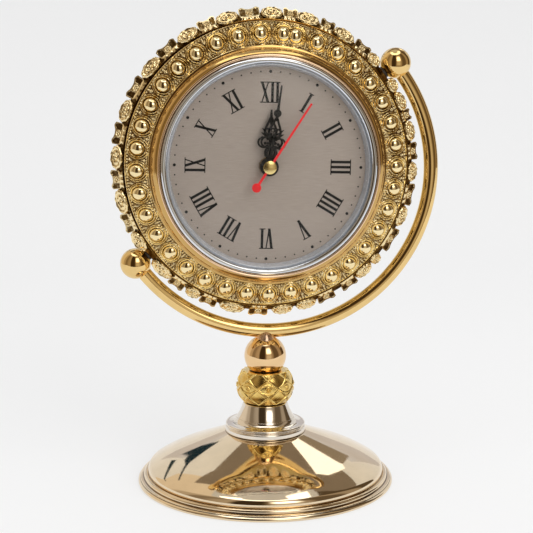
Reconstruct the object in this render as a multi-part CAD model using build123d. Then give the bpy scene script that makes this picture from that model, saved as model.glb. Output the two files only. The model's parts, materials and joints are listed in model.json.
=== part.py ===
from build123d import *
from math import asin, atan2, cos, degrees, floor, hypot, pi, radians, sin, sqrt
import os

# Table clock: a round head that turns about a tilted axis inside a meridian arc.
# Millimetres, +Z up, dial facing -Y, origin at the centre of the felt's underside.

# Fits
HOLE_CLEARANCE = 0.1
RUNNING_CLEARANCE = 0.05
SEAT_CLEARANCE = 0.1

# Base
RIM_RADIUS = 58.2
RIM_LIFT = 0.4
RIM_LIP_HEIGHT = 1.5
RIM_GROOVE_DEPTH = 0.5
RIM_GROOVE_HEIGHT = 0.3
FLANGE_HEIGHT = 2.7
BEAD_RADIUS = 1.1
BEAD_CREST_SHARE = 0.75
FLANGE_WIDTH = 5.1
SHOULDER_WIDTH = 2.8
SHOULDER_HEIGHT = 9.2
DOME_BULGE = 0.7
SHOULDER_BULGE = 1.1
SHELL_WALL = 0.8
FELT_THICKNESS = 1.2
FELT_MARGIN = 0.5
WEIGHT_MARGIN = 2.6
WEIGHT_EDGE_HEIGHT = 3.0
WEIGHT_CHAMFER_WIDTH = 5.5
WEIGHT_HEIGHT = 7.0
WEIGHT_HUB_RADIUS = 10.0

# Stem, from the collar up to the ball
COLLAR_BOTTOM = 23.0
COLLAR_RADIUS = 17.8
COLLAR_BAND_HEIGHT = 2.9
COLLAR_GROOVE_DEPTH = 0.8
COLLAR_GROOVE_HEIGHT = 0.4
COLLAR_HEIGHT = 6.6
COLLAR_TOP_RADIUS = 14.8
COLLAR_SHOULDER_STEP = 0.4
COLLAR_SHOULDER_BULGE = 0.5
NECK_FOOT_RADIUS = 13.4
NECK_TOP_RADIUS = 9.2
NECK_HEIGHT = 6.8
NECK_HOLLOW = 0.7
NECK_EDGE_HEIGHT = 0.6
LOWER_WASHER_RADIUS = 8.3
UPPER_WASHER_RADIUS = 7.0
STEM_WASHER_THICKNESS = 0.4
KNOP_HEIGHT = 14.6
KNOP_SIDES = 8
KNOP_ROW_HEIGHT = 4.05
KNOP_RING_RADII = (9.9, 12.2, 13.8, 11.4, 9.5)
KNOP_LOZENGE_SINK = 0.6
STEM_BALL_RADIUS = 9.5
STEM_BALL_SEAT_RADIUS = 7.3
STEM_BALL_TOP_HEIGHT = 7.911

# Tie rod that clamps the stand together
TIE_ROD_RADIUS = 2.5
TIE_NUT_FLATS = 8.0
TIE_NUT_HEIGHT = 4.0
TIE_WASHER_RADIUS = 6.0
TIE_WASHER_THICKNESS = 1.0
TIE_POCKET_RADIUS = 7.0
TIE_ROD_TIP = 0.8

# Meridian arc and the head's pivots
PIVOT_TILT = 37.1
PIVOT_BALL_RADIUS = 6.8
PIVOT_BALL_REACH = 4.5
ARC_SET_BACK = 0.45
ARC_TUBE_RADIUS = 3.2
ARC_DROP = 4.4
ARC_END_REACH = 0.86
SADDLE_WIDTH = 6.0
SADDLE_WALL = 1.2
SADDLE_STUB_RADIUS = 3.6
SADDLE_STUB_LENGTH = 7.0
SADDLE_FLOOR = 0.5
PIVOT_PIN_RADIUS = 1.5
PIVOT_PIN_GRIP = 4.5
PIVOT_PIN_TIP = 0.4
SLEEVE_RADIUS = 2.7
SLEEVE_OVERLAP = 0.5
BUSH_RADIUS = 3.2
BUSH_INSIDE = 3.0
BUSH_OUTSIDE = 2.6

# Case of the head: depths are along Y from the pivot axis, negative to the front
DRUM_RADIUS = 60.0
DRUM_WALL = 1.0
DRUM_BACK = 14.6
FLANGE_REACH = 2.2
FLANGE_FRONT = -5.0
FLANGE_THICKNESS = 1.0
BACK_COVER_THICKNESS = 1.0
BACK_COVER_RECESS = 0.6
BACK_OPENING_RADIUS = 38.5
POST_RADIUS = 3.0
POST_INSET = 6.0
POST_COUNT = 3
COVER_SCREW_RADIUS = 1.2
COVER_SCREW_LENGTH = 7.0
SCREW_HEAD_RADIUS = 2.3
SCREW_HEAD_HEIGHT = 1.4
RING_SCREW_RADIUS = 1.0
RING_SCREW_DEPTH = 2.6
RING_SCREW_INSET = 3.4
RING_SCREW_COUNT = 4
RING_SCREW_FIRST_ANGLE = 17.0

# Ornament of the head
GALLERY_REACH = 4.5
GALLERY_INSET = 6.0
GALLERY_FLANGE_THICKNESS = 1.0
GALLERY_FRONT = -6.0
GALLERY_FLARE = 4.4
GALLERY_THICKNESS = 1.0
GALLERY_REPEATS = 20
MEDALLION_WIDTH = 12.2
MEDALLION_HEIGHT = 6.6
MEDALLION_SIDES = 12
BOW_BAR_WIDTH = 1.3
BOW_BAR_OVERLAP = 3.0
GALLERY_FLANGE_MARGIN = 0.4
BOW_ROSETTE_RADIUS = 1.6
RING_OVERHANG = 3.5
RING_WIDTH = 11.2
RING_OUTER_FRONT = -6.9
RING_INNER_FRONT = -13.0
RING_CROWN = 0.9
RING_BORDER_WIDTH = 1.3
RING_BORDER_DEPTH = 0.7
DOME_COUNT = 37
DOME_PITCH_ANGLE = 9.83
DOME_FIRST_ANGLE = 12.3
DOME_RADIUS = 3.2
DOME_HEIGHT = 2.9
DOME_SIDES = 8
DOME_TIER_HEIGHT = 1.74
DOME_TIER_RADIUS = 2.56
DOME_TIP_RADIUS = 1.12
DOME_TAPER_SHARE = 0.97
DOME_INSET = 5.3
DOME_SINK = 0.5
BEZEL_WIDTH = 5.3
BEZEL_FRONT = -18.2
BEZEL_EDGE_FRONT = -13.6
BEZEL_STEP = 0.6
BEZEL_STEP_INSET = 1.6
BEZEL_STEP_SLANT = 0.4
BEZEL_EDGE_SLOPE = 0.5
BEZEL_LIP_WIDTH = 0.6
BEZEL_CROWN = 0.5

# Dial, glass and silver bezel
DIAL_FRONT = -11.85
DIAL_THICKNESS = 0.6
DIAL_SHELF_WIDTH = 2.0
SPACER_WIDTH = 4.4
SPACER_SLANT = 1.0
SPACER_DEPTH = 3.6
GLASS_THICKNESS = 1.4
GLASS_CROWN = 7.6
SILVER_WIDTH = 3.1
SILVER_FRONT = -19.2
SILVER_LIP_THICKNESS = 1.1
SILVER_SEAT_WIDTH = 1.2
SILVER_SLOPE_WIDTH = 0.7
SILVER_FLAT_WIDTH = 0.9
SILVER_CHAMFER = 0.4

# Hands and the tubes that carry them
BUSH_THREAD_RADIUS = 3.9
BUSH_THREAD_FRONT = -14.0
BUSH_NUT_FLATS = 11.0
BUSH_NUT_HEIGHT = 1.8
CASE_WASHER_RADIUS = 9.0
CASE_WASHER_THICKNESS = 0.5
HOUR_PIPE_RADIUS = 2.5
HOUR_PIPE_FRONT = -15.2
CANNON_RADIUS = 1.6
CANNON_FRONT = -17.0
ARBOR_RADIUS = 0.6
SECONDS_ARBOR_FRONT = -18.5
HAND_THICKNESS = 0.5
LOOP_SIDES = 12
HAND_HUB_RADIUS = 3.9
HAND_STEM_WIDTH = 1.0
HAND_STEM_OVERLAP = 0.6
HAND_NECK_WIDTH = 0.6
HAND_WIDEST_SHARE = 0.35
BLADE_START = 17.8
LOOP_BORE_SHARE = 0.5
HOUR_HAND_BACK = -14.4
HOUR_HAND_MARGIN = 16.4
HOUR_HAND_ANGLE = 1.65
HOUR_BLADE_WIDTH = 2.6
HOUR_LOOPS = ((1.9, 8.2, 2.1), (2.7, 12.6, 2.3), (1.5, 16.4, 1.7))
MINUTE_HAND_BACK = -16.2
MINUTE_HAND_MARGIN = 5.3
MINUTE_HAND_ANGLE = 8.6
MINUTE_BLADE_WIDTH = 2.0
MINUTE_LOOPS = ((1.6, 9.4, 1.8), (2.0, 13.2, 1.9), (1.3, 16.6, 1.5))
SECOND_HAND_BACK = -17.9
SECOND_HAND_MARGIN = 8.2
SECOND_HAND_ANGLE = 33.5
SECOND_HAND_WIDTH = 0.9
SECOND_HAND_TIP_WIDTH = 0.36
SECOND_HAND_HUB_RADIUS = 2.4
SECOND_HAND_THICKNESS = 0.3
COUNTERWEIGHT_RADIUS = 2.07
COUNTERWEIGHT_DISTANCE = 11.3
CAP_RADIUS = 2.8
CAP_HEIGHT = 1.3
CAP_STEPS = ((1.0, 0.5), (0.75, 0.9), (0.4, 1.0))

# Quartz movement
CASE_TOP = 28.0
CASE_CORNER_RADIUS = 3.0
CASE_WALL = 1.2
CASE_DEPTH = 16.0
CASE_SPLIT = -2.7
PARTITION_TOP = -10.4
BATTERY_RADIUS = 7.1
BATTERY_LENGTH = 49.2
BATTERY_NIPPLE_RADIUS = 2.6
BATTERY_NIPPLE_LENGTH = 1.2
BATTERY_SIDE_GAP = 0.5
BATTERY_FLOOR_GAP = 0.3
CONTACT_THICKNESS = 0.5
CONTACT_PAD_HEIGHT = 1.7
CONTACT_WIDTH = 9.0
CONTACT_PAD_WIDTH = 5.4
GEAR_THICKNESS = 0.8
END_SHAKE = 0.3
BOSS_RADIUS = 1.4
PIVOT_DEPTH = 0.6
SETTING_ARBOR_RADIUS = 0.8
KNOB_RADIUS = 4.6
KNOB_HEIGHT = 3.4
KNOB_GAP = 0.7
KNOB_GRIPS = 16
KNOB_GRIP_DEPTH = 0.3
KNOB_GRIP_WIDTH = 0.7
MAGNET_RADIUS = 2.6
MAGNET_LENGTH = 2.6
STATOR_THICKNESS = 0.8
STATOR_BORE_RADIUS = 3.1
STATOR_ARM_WIDTH = 2.2
STATOR_HALF_SPAN = 6.4
STATOR_YOKE_WIDTH = 1.32
COIL_RADIUS = 2.6
BOBBIN_FLANGE_RADIUS = 2.9
BOBBIN_FLANGE_THICKNESS = 0.6
BOBBIN_CORE_RADIUS = 1.6
COIL_HEIGHT_ABOVE_ROTOR = 18.2
BOARD_WIDTH = 16.0
BOARD_HEIGHT = 12.0
BOARD_THICKNESS = 1.0
BOARD_SIDE_GAP = 2.8
BOARD_TOP_GAP = 1.3
CRYSTAL_RADIUS = 1.0
CRYSTAL_LENGTH = 6.0

# Gear train: teeth, and the distances of the arbors from the centre
ROTOR_PINION_TEETH = 6
INTERMEDIATE_TEETH = 36
INTERMEDIATE_PINION_TEETH = 6
SECONDS_TEETH = 30
SECONDS_PINION_TEETH = 6
THIRD_TEETH = 45
THIRD_PINION_TEETH = 6
CENTRE_TEETH = 48
CANNON_TEETH = 8
MINUTE_WHEEL_TEETH = 24
MINUTE_PINION_TEETH = 6
HOUR_TEETH = 24
THIRD_DISTANCE = 10.0
THIRD_DIRECTION = 150.0
INTERMEDIATE_DISTANCE = 8.1
INTERMEDIATE_DIRECTION = -5.0
ROTOR_DISTANCE = 8.0
ROTOR_DIRECTION = -4.0
SETTING_DISTANCE = 10.4
SETTING_DIRECTION = 60.0
ADDENDUM = 0.75
DEDENDUM = 0.95
TOOTH_ROOT_SHARE = 0.56
TOOTH_TIP_SHARE = 0.2
PLANE_PITCH = 1.6
HOUR_WHEEL_GAP = 0.25

# Radii of the foot, outside to inside
DOME_EDGE_RADIUS = RIM_RADIUS - FLANGE_WIDTH
SHOULDER_RADIUS = DOME_EDGE_RADIUS - SHOULDER_WIDTH
WEIGHT_RADIUS = DOME_EDGE_RADIUS - WEIGHT_MARGIN

# Heights of the stand, bottom to top
SHELL_TOP_UNDERSIDE = COLLAR_BOTTOM - SHELL_WALL
COLLAR_TOP = COLLAR_BOTTOM + COLLAR_HEIGHT
NECK_TOP = COLLAR_TOP + NECK_HEIGHT
KNOP_BOTTOM = NECK_TOP + STEM_WASHER_THICKNESS
KNOP_TOP = KNOP_BOTTOM + KNOP_HEIGHT
STEM_BALL_BOTTOM = KNOP_TOP + STEM_WASHER_THICKNESS
STEM_BALL_CENTRE = STEM_BALL_BOTTOM + sqrt(STEM_BALL_RADIUS**2 - STEM_BALL_SEAT_RADIUS**2)
TIE_BORE = TIE_ROD_RADIUS + HOLE_CLEARANCE

# Radii of the head, from the drum out to the arc and in to the dial
RING_OUTER_RADIUS = DRUM_RADIUS + RING_OVERHANG
GALLERY_RADIUS = RING_OUTER_RADIUS + GALLERY_REACH
GALLERY_INNER_RADIUS = DRUM_RADIUS - GALLERY_INSET
PIVOT_BALL_DISTANCE = GALLERY_RADIUS + PIVOT_BALL_REACH
ARC_RADIUS = PIVOT_BALL_DISTANCE - ARC_SET_BACK
FLANGE_RADIUS = DRUM_RADIUS + FLANGE_REACH
POST_CIRCLE_RADIUS = DRUM_RADIUS - POST_INSET
RING_SCREW_CIRCLE_RADIUS = DRUM_RADIUS - RING_SCREW_INSET
BUSH_INNER_END = DRUM_RADIUS - BUSH_INSIDE
BUSH_OUTER_END = DRUM_RADIUS + BUSH_OUTSIDE
DOME_CIRCLE_RADIUS = RING_OUTER_RADIUS - DOME_INSET
RING_INNER_RADIUS = RING_OUTER_RADIUS - RING_WIDTH
BEZEL_BORE_RADIUS = RING_INNER_RADIUS - BEZEL_WIDTH
DIAL_SHELF_RADIUS = BEZEL_BORE_RADIUS - DIAL_SHELF_WIDTH
SPACER_BORE_RADIUS = BEZEL_BORE_RADIUS - SPACER_WIDTH
SILVER_BORE_RADIUS = BEZEL_BORE_RADIUS - SILVER_WIDTH
HOUR_HAND_LENGTH = SPACER_BORE_RADIUS - HOUR_HAND_MARGIN
MINUTE_HAND_LENGTH = SPACER_BORE_RADIUS - MINUTE_HAND_MARGIN
SECOND_HAND_LENGTH = SPACER_BORE_RADIUS - SECOND_HAND_MARGIN

# The arc's own circle hangs square to the pivot axis, below the head's centre
SADDLE_BOTTOM = STEM_BALL_CENTRE + STEM_BALL_TOP_HEIGHT
ARC_BOTTOM_AXIS = SADDLE_BOTTOM + SADDLE_FLOOR + ARC_TUBE_RADIUS
ARC_CENTRE_X = ARC_DROP * sin(radians(PIVOT_TILT))
ARC_CENTRE_Z = ARC_BOTTOM_AXIS + sqrt(ARC_RADIUS**2 - ARC_CENTRE_X**2)
HEAD_CENTRE_HEIGHT = ARC_CENTRE_Z + ARC_DROP * cos(radians(PIVOT_TILT))

# Depths of the movement
DIAL_BACK = DIAL_FRONT + DIAL_THICKNESS
CASE_FRONT = DIAL_BACK + CASE_WASHER_THICKNESS
CASE_BACK = CASE_FRONT + CASE_DEPTH
CASE_FLOOR = CASE_FRONT + CASE_WALL
COVER_INSIDE = CASE_BACK - CASE_WALL
HOUR_PLANE = CASE_FLOOR + HOUR_WHEEL_GAP
CANNON_PLANE = HOUR_PLANE + GEAR_THICKNESS + END_SHAKE
CENTRE_PLANE = CANNON_PLANE + PLANE_PITCH
THIRD_PLANE = CENTRE_PLANE + PLANE_PITCH
SECONDS_PLANE = THIRD_PLANE + PLANE_PITCH
INTERMEDIATE_PLANE = SECONDS_PLANE + PLANE_PITCH
MAGNET_FRONT = INTERMEDIATE_PLANE + GEAR_THICKNESS + END_SHAKE

# The movement's case: its width and its lower edge follow the battery
BATTERY_CENTRE_Z = PARTITION_TOP - CASE_WALL - BATTERY_RADIUS - BATTERY_SIDE_GAP
CASE_BOTTOM = BATTERY_CENTRE_Z - BATTERY_RADIUS - BATTERY_SIDE_GAP - CASE_WALL
CASE_WIDTH = BATTERY_LENGTH + 2 * (CONTACT_PAD_HEIGHT + CONTACT_THICKNESS + CASE_WALL)
BOARD_CENTRE_X = BOARD_SIDE_GAP + CASE_WALL + (BOARD_WIDTH - CASE_WIDTH) / 2
BOARD_CENTRE_Z = CASE_TOP - CASE_WALL - BOARD_TOP_GAP - BOARD_HEIGHT / 2

HEAD = Pos(0, 0, HEAD_CENTRE_HEIGHT)
BOX = 400.0


# Shared helpers

def spun(edges, axis):
    """Solid of revolution of a closed outline drawn in the right half plane."""
    return revolve(make_face(edges), axis, 360)


def line_z(*points):
    """Straight outline in the XZ plane from (radius, height) pairs."""
    return Polyline(*[(r, 0, z) for r, z in points])


def arc_z(start, middle, end):
    """Round stretch of an outline in the XZ plane."""
    return ThreePointArc(*[(r, 0, z) for r, z in (start, middle, end)])


def line_y(*points):
    """Straight outline in the XY plane from (radius, depth) pairs."""
    return Polyline(*[(r, y, 0) for r, y in points])


def arc_y(start, middle, end):
    """Round stretch of an outline in the XY plane."""
    return ThreePointArc(*[(r, y, 0) for r, y in (start, middle, end)])


def bulged(start, end, bulge):
    """Middle point of an arc between two points, pushed out to the left of its travel."""
    dx, dz = end[0] - start[0], end[1] - start[1]
    length = hypot(dx, dz)
    return (start[0] + end[0]) / 2 - dz / length * bulge, (start[1] + end[1]) / 2 + dx / length * bulge


def disc_z(radius, bottom, top, bore=0.0):
    """Upright disc or washer about Z."""
    solid = Pos(0, 0, bottom) * Cylinder(radius, top - bottom, align=(Align.CENTER, Align.CENTER, Align.MIN))
    if bore:
        solid -= Pos(0, 0, bottom - 1) * Cylinder(
            bore, top - bottom + 2, align=(Align.CENTER, Align.CENTER, Align.MIN))
    return solid


def plate(sketch, front, back, x=0.0, z=0.0):
    """Sketch in the XZ plane made solid between two depths."""
    return Pos(x, back, z) * extrude(Plane.XZ * sketch, back - front)


def ring_plate(radius, bore, front, back, x=0.0, z=0.0):
    """Flat washer facing the front."""
    return plate(Circle(radius) - Circle(bore), front, back, x, z)


def clockwise(angle, distance):
    """Point at an angle clockwise from the top, as (x, z)."""
    return distance * sin(radians(angle)), distance * cos(radians(angle))


def around(angle, distance):
    """Point at an angle anticlockwise from +X, as (x, z)."""
    return distance * cos(radians(angle)), distance * sin(radians(angle))


def along_pivot(start, end, radius, side):
    """Cylinder on the pivot axis, on the upper (+1) or lower (-1) side, in the head's frame."""
    stand = Cylinder(radius, end - start, align=(Align.CENTER, Align.CENTER, Align.MIN))
    turned = Rot(0, 90.0 - PIVOT_TILT if side > 0 else 270.0 - PIVOT_TILT, 0)
    return turned * Pos(0, 0, start) * stand


def pivot_ball_centre(side):
    x, z = around(PIVOT_TILT, side * PIVOT_BALL_DISTANCE)
    return Pos(x, 0, z)


# Stand

def base_shell():
    lip_edge = RIM_LIP_HEIGHT + RIM_LIFT
    groove_top = lip_edge + RIM_GROOVE_HEIGHT
    groove = RIM_RADIUS - RIM_GROOVE_DEPTH
    bead_outside = DOME_EDGE_RADIUS + 2 * BEAD_RADIUS
    bead_height = FLANGE_HEIGHT + BEAD_RADIUS
    bead_crest = bead_height + BEAD_RADIUS * BEAD_CREST_SHARE
    shoulder = (SHOULDER_RADIUS, SHOULDER_HEIGHT)
    top = (COLLAR_RADIUS, COLLAR_BOTTOM)
    edge = (DOME_EDGE_RADIUS, bead_height + BEAD_RADIUS / 2)
    outside = spun([
        line_z((0, RIM_LIFT), (groove, RIM_LIFT), (RIM_RADIUS, RIM_LIFT + RIM_LIP_HEIGHT / 3),
               (RIM_RADIUS, lip_edge - RIM_LIP_HEIGHT / 3), (groove, lip_edge), (groove, groove_top),
               (RIM_RADIUS, groove_top), (bead_outside, FLANGE_HEIGHT), (bead_outside, bead_height),
               (bead_outside - BEAD_RADIUS / 2, bead_crest), (DOME_EDGE_RADIUS + BEAD_RADIUS / 2, bead_crest),
               edge),
        arc_z(edge, bulged(edge, shoulder, -SHOULDER_BULGE), shoulder),
        arc_z(shoulder, bulged(shoulder, top, -DOME_BULGE), top),
        line_z(top, (0, COLLAR_BOTTOM), (0, RIM_LIFT)),
    ], Axis.Z)
    inner_edge = (DOME_EDGE_RADIUS - SHELL_WALL, bead_height)
    inner_shoulder = (SHOULDER_RADIUS - SHELL_WALL, SHOULDER_HEIGHT - SHELL_WALL)
    inner_top = (COLLAR_RADIUS - SHELL_WALL, SHELL_TOP_UNDERSIDE)
    hollow = spun([
        line_z((0, 0), (groove - SHELL_WALL, 0), (groove - SHELL_WALL, FLANGE_HEIGHT - SHELL_WALL),
               (inner_edge[0], FLANGE_HEIGHT - SHELL_WALL), inner_edge, inner_shoulder, inner_top,
               (0, SHELL_TOP_UNDERSIDE), (0, 0)),
    ], Axis.Z)
    return outside - hollow - disc_z(TIE_BORE, RIM_LIFT, COLLAR_BOTTOM + 1)


def base_felt():
    return disc_z(RIM_RADIUS - RIM_GROOVE_DEPTH - SHELL_WALL - FELT_MARGIN, 0, FELT_THICKNESS)


def base_weight():
    """Iron disc whose hub reaches up to the shell's top, where the tie rod clamps both."""
    bottom = FELT_THICKNESS
    pocket_top = bottom + TIE_NUT_HEIGHT + TIE_WASHER_THICKNESS
    return spun(line_z(
        (TIE_BORE, pocket_top), (TIE_POCKET_RADIUS, pocket_top), (TIE_POCKET_RADIUS, bottom),
        (WEIGHT_RADIUS, bottom), (WEIGHT_RADIUS, bottom + WEIGHT_EDGE_HEIGHT),
        (WEIGHT_RADIUS - WEIGHT_CHAMFER_WIDTH, bottom + WEIGHT_HEIGHT),
        (WEIGHT_HUB_RADIUS, bottom + WEIGHT_HEIGHT),
        (WEIGHT_HUB_RADIUS, SHELL_TOP_UNDERSIDE), (TIE_BORE, SHELL_TOP_UNDERSIDE),
        (TIE_BORE, pocket_top)), Axis.Z)


def tie_rod():
    top = SADDLE_BOTTOM - 1.0
    return disc_z(TIE_ROD_RADIUS, FELT_THICKNESS + TIE_ROD_TIP, top)


def tie_nut():
    bottom = FELT_THICKNESS
    hexagon = RegularPolygon(TIE_NUT_FLATS / 2, 6, major_radius=False) - Circle(TIE_ROD_RADIUS)
    return Pos(0, 0, bottom) * extrude(hexagon, TIE_NUT_HEIGHT)


def tie_washer():
    bottom = FELT_THICKNESS + TIE_NUT_HEIGHT
    return disc_z(TIE_WASHER_RADIUS, bottom, bottom + TIE_WASHER_THICKNESS, TIE_BORE)


def collar_ring():
    band_top = COLLAR_BOTTOM + COLLAR_BAND_HEIGHT
    groove_top = band_top + COLLAR_GROOVE_HEIGHT
    groove = COLLAR_RADIUS - COLLAR_GROOVE_DEPTH
    shoulder = (COLLAR_RADIUS - COLLAR_SHOULDER_STEP, groove_top)
    top = (COLLAR_TOP_RADIUS, COLLAR_TOP)
    return spun([
        line_z((TIE_BORE, COLLAR_BOTTOM), (COLLAR_RADIUS, COLLAR_BOTTOM), (COLLAR_RADIUS, band_top),
               (groove, band_top), (groove, groove_top), shoulder),
        arc_z(shoulder, bulged(shoulder, top, -COLLAR_SHOULDER_BULGE), top),
        line_z(top, (TIE_BORE, COLLAR_TOP), (TIE_BORE, COLLAR_BOTTOM)),
    ], Axis.Z)


def neck_cone():
    foot = (NECK_FOOT_RADIUS, COLLAR_TOP + NECK_EDGE_HEIGHT)
    top = (NECK_TOP_RADIUS, NECK_TOP - NECK_EDGE_HEIGHT)
    return spun([
        line_z((TIE_BORE, COLLAR_TOP), (NECK_FOOT_RADIUS, COLLAR_TOP), foot),
        arc_z(foot, bulged(foot, top, NECK_HOLLOW), top),
        line_z(top, (NECK_TOP_RADIUS, NECK_TOP), (TIE_BORE, NECK_TOP), (TIE_BORE, COLLAR_TOP)),
    ], Axis.Z)


def knop_corner(ring, step):
    """Corner of the knop's lattice: rings count upwards, steps are half the pitch of a ring."""
    height = min(ring * KNOP_ROW_HEIGHT, KNOP_HEIGHT) if ring < len(KNOP_RING_RADII) - 1 else KNOP_HEIGHT
    turn = pi * step / KNOP_SIDES
    radius = KNOP_RING_RADII[ring]
    return Vector(radius * sin(turn), -radius * cos(turn), KNOP_BOTTOM + height)


def lozenge_centre(ring, step):
    """Sunk middle of the lozenge whose side corners lie on a ring."""
    middle = (knop_corner(ring, step - 1) + knop_corner(ring, step + 1)) / 2
    outward = Vector(middle.X, middle.Y, 0).normalized()
    return middle - outward * KNOP_LOZENGE_SINK


def knop():
    """Cast knot: three rows of sunk lozenges between slanting ridges, eight to the round."""
    last = len(KNOP_RING_RADII) - 1
    polygons = []
    for step in range(2 * KNOP_SIDES):
        even = step % 2 == 0
        for ring in range(1, last):
            if (ring % 2 == 0) == even:
                loop = [knop_corner(ring, step - 1), knop_corner(ring - 1, step),
                        knop_corner(ring, step + 1), knop_corner(ring + 1, step)]
                centre = lozenge_centre(ring, step)
                polygons += [(centre, loop[side], loop[(side + 1) % 4]) for side in range(4)]
        if even:
            polygons.append((knop_corner(1, step), knop_corner(0, step - 1), knop_corner(0, step + 1)))
            polygons.append((knop_corner(last - 1, step), knop_corner(last, step + 1),
                             knop_corner(last, step - 1)))
    odd_steps = range(1, 2 * KNOP_SIDES, 2)
    polygons.append([knop_corner(0, step) for step in reversed(odd_steps)])
    polygons.append([knop_corner(last, step) for step in odd_steps])
    body = Solid(Shell([Face(Wire.make_polygon(corners)) for corners in polygons]))
    return body - disc_z(TIE_BORE, KNOP_BOTTOM - 1, KNOP_TOP + 1)


def stem_ball():
    ball = Pos(0, 0, STEM_BALL_CENTRE) * Sphere(STEM_BALL_RADIUS)
    ball &= Pos(0, 0, STEM_BALL_BOTTOM) * Box(
        BOX, BOX, SADDLE_BOTTOM - STEM_BALL_BOTTOM, align=(Align.CENTER, Align.CENTER, Align.MIN))
    stub_bottom = SADDLE_BOTTOM - SADDLE_STUB_LENGTH
    bore = disc_z(SADDLE_STUB_RADIUS, stub_bottom, SADDLE_BOTTOM + 1)
    return ball - bore - disc_z(TIE_BORE, STEM_BALL_BOTTOM - 1, stub_bottom)


def arc_tube():
    """Full ring of the arc's round bar, before its ends are cut."""
    return Pos(ARC_CENTRE_X, 0, ARC_CENTRE_Z) * (Rot(90, 0, 0) * Torus(ARC_RADIUS, ARC_TUBE_RADIUS))


def arc_saddle():
    """Cradle on the ball, with a threaded stub for the tie rod and two arms beside the bar."""
    depth = 2 * (ARC_TUBE_RADIUS + SADDLE_WALL)
    block = Pos(0, 0, SADDLE_BOTTOM) * Box(
        SADDLE_WIDTH, depth, ARC_BOTTOM_AXIS - SADDLE_BOTTOM,
        align=(Align.CENTER, Align.CENTER, Align.MIN))
    cap = Pos(0, 0, STEM_BALL_CENTRE) * Sphere(STEM_BALL_RADIUS)
    cap &= Pos(0, 0, SADDLE_BOTTOM) * Box(BOX, BOX, BOX, align=(Align.CENTER, Align.CENTER, Align.MIN))
    stub = disc_z(SADDLE_STUB_RADIUS, SADDLE_BOTTOM - SADDLE_STUB_LENGTH, SADDLE_BOTTOM)
    rod_hole = disc_z(TIE_ROD_RADIUS, SADDLE_BOTTOM - SADDLE_STUB_LENGTH - 1, SADDLE_BOTTOM - 1.0)
    return block + cap + stub - rod_hole - arc_tube()


def meridian_arc():
    """Round bar from ball to ball round the lower right; its ends reach just inside the balls' skin."""
    ball_angle = degrees(asin(ARC_DROP / hypot(PIVOT_BALL_DISTANCE, ARC_DROP)))
    seat_angle = degrees(PIVOT_BALL_RADIUS / ARC_RADIUS) * ARC_END_REACH
    start = 180.0 + PIVOT_TILT - ball_angle + seat_angle
    sweep_angle = 180.0 + 2 * ball_angle - 2 * seat_angle
    centre = Pos(ARC_CENTRE_X, 0, ARC_CENTRE_Z)
    section_x, section_z = around(start, ARC_RADIUS)
    flat = Plane(origin=(section_x, 0, section_z), x_dir=(0, 1, 0),
                 z_dir=(-sin(radians(start)), 0, cos(radians(start))))
    bar = revolve(flat * Circle(ARC_TUBE_RADIUS), Axis((0, 0, 0), (0, -1, 0)), sweep_angle)
    bar = centre * bar
    for side in (1, -1):
        bar -= HEAD * pivot_ball_centre(side) * Sphere(PIVOT_BALL_RADIUS)
    return bar


def pivot_ball(side):
    grip = PIVOT_BALL_DISTANCE - PIVOT_BALL_RADIUS + PIVOT_PIN_GRIP
    ball = pivot_ball_centre(side) * Sphere(PIVOT_BALL_RADIUS)
    hole = along_pivot(BUSH_OUTER_END, grip, PIVOT_PIN_RADIUS, side)
    seat = along_pivot(BUSH_OUTER_END, sleeve_end(), SLEEVE_RADIUS, side)
    return HEAD * (ball - hole - seat)


def sleeve_end():
    return PIVOT_BALL_DISTANCE - PIVOT_BALL_RADIUS + SLEEVE_OVERLAP


def pivot_pin(side):
    grip = PIVOT_BALL_DISTANCE - PIVOT_BALL_RADIUS + PIVOT_PIN_GRIP
    return HEAD * along_pivot(BUSH_INNER_END - PIVOT_PIN_TIP, grip, PIVOT_PIN_RADIUS, side)


def friction_sleeve(side):
    start = BUSH_OUTER_END + SEAT_CLEARANCE
    sleeve = along_pivot(start, sleeve_end(), SLEEVE_RADIUS, side)
    return HEAD * (sleeve - along_pivot(start - 1, sleeve_end() + 1, PIVOT_PIN_RADIUS, side))


# Case of the head

def pivot_bush(side):
    bush = along_pivot(BUSH_INNER_END, BUSH_OUTER_END, BUSH_RADIUS, side)
    bore = along_pivot(BUSH_INNER_END - 1, BUSH_OUTER_END + 1, PIVOT_PIN_RADIUS + RUNNING_CLEARANCE, side)
    return HEAD * (bush - bore)


def post_angles():
    return [360.0 / POST_COUNT * number for number in range(POST_COUNT)]


def ring_screw_angles():
    return [RING_SCREW_FIRST_ANGLE + 360.0 / RING_SCREW_COUNT * number for number in range(RING_SCREW_COUNT)]


def back_cover_front():
    return DRUM_BACK - BACK_COVER_RECESS - BACK_COVER_THICKNESS


def mounting_ring():
    """Flat ring behind the ornament, with the posts that hold the back cover."""
    back = FLANGE_FRONT + FLANGE_THICKNESS
    ring = ring_plate(FLANGE_RADIUS, DIAL_SHELF_RADIUS, FLANGE_FRONT, back)
    for angle in post_angles():
        x, z = clockwise(angle, POST_CIRCLE_RADIUS)
        thread = plate(Circle(COVER_SCREW_RADIUS), back_cover_front() - COVER_SCREW_LENGTH,
                       back_cover_front() + 1, x, z)
        ring = ring + plate(Circle(POST_RADIUS), back, back_cover_front(), x, z) - thread
    for angle in ring_screw_angles():
        x, z = clockwise(angle, RING_SCREW_CIRCLE_RADIUS)
        ring -= plate(Circle(RING_SCREW_RADIUS), FLANGE_FRONT - 1, back + 1, x, z)
    return HEAD * ring


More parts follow.
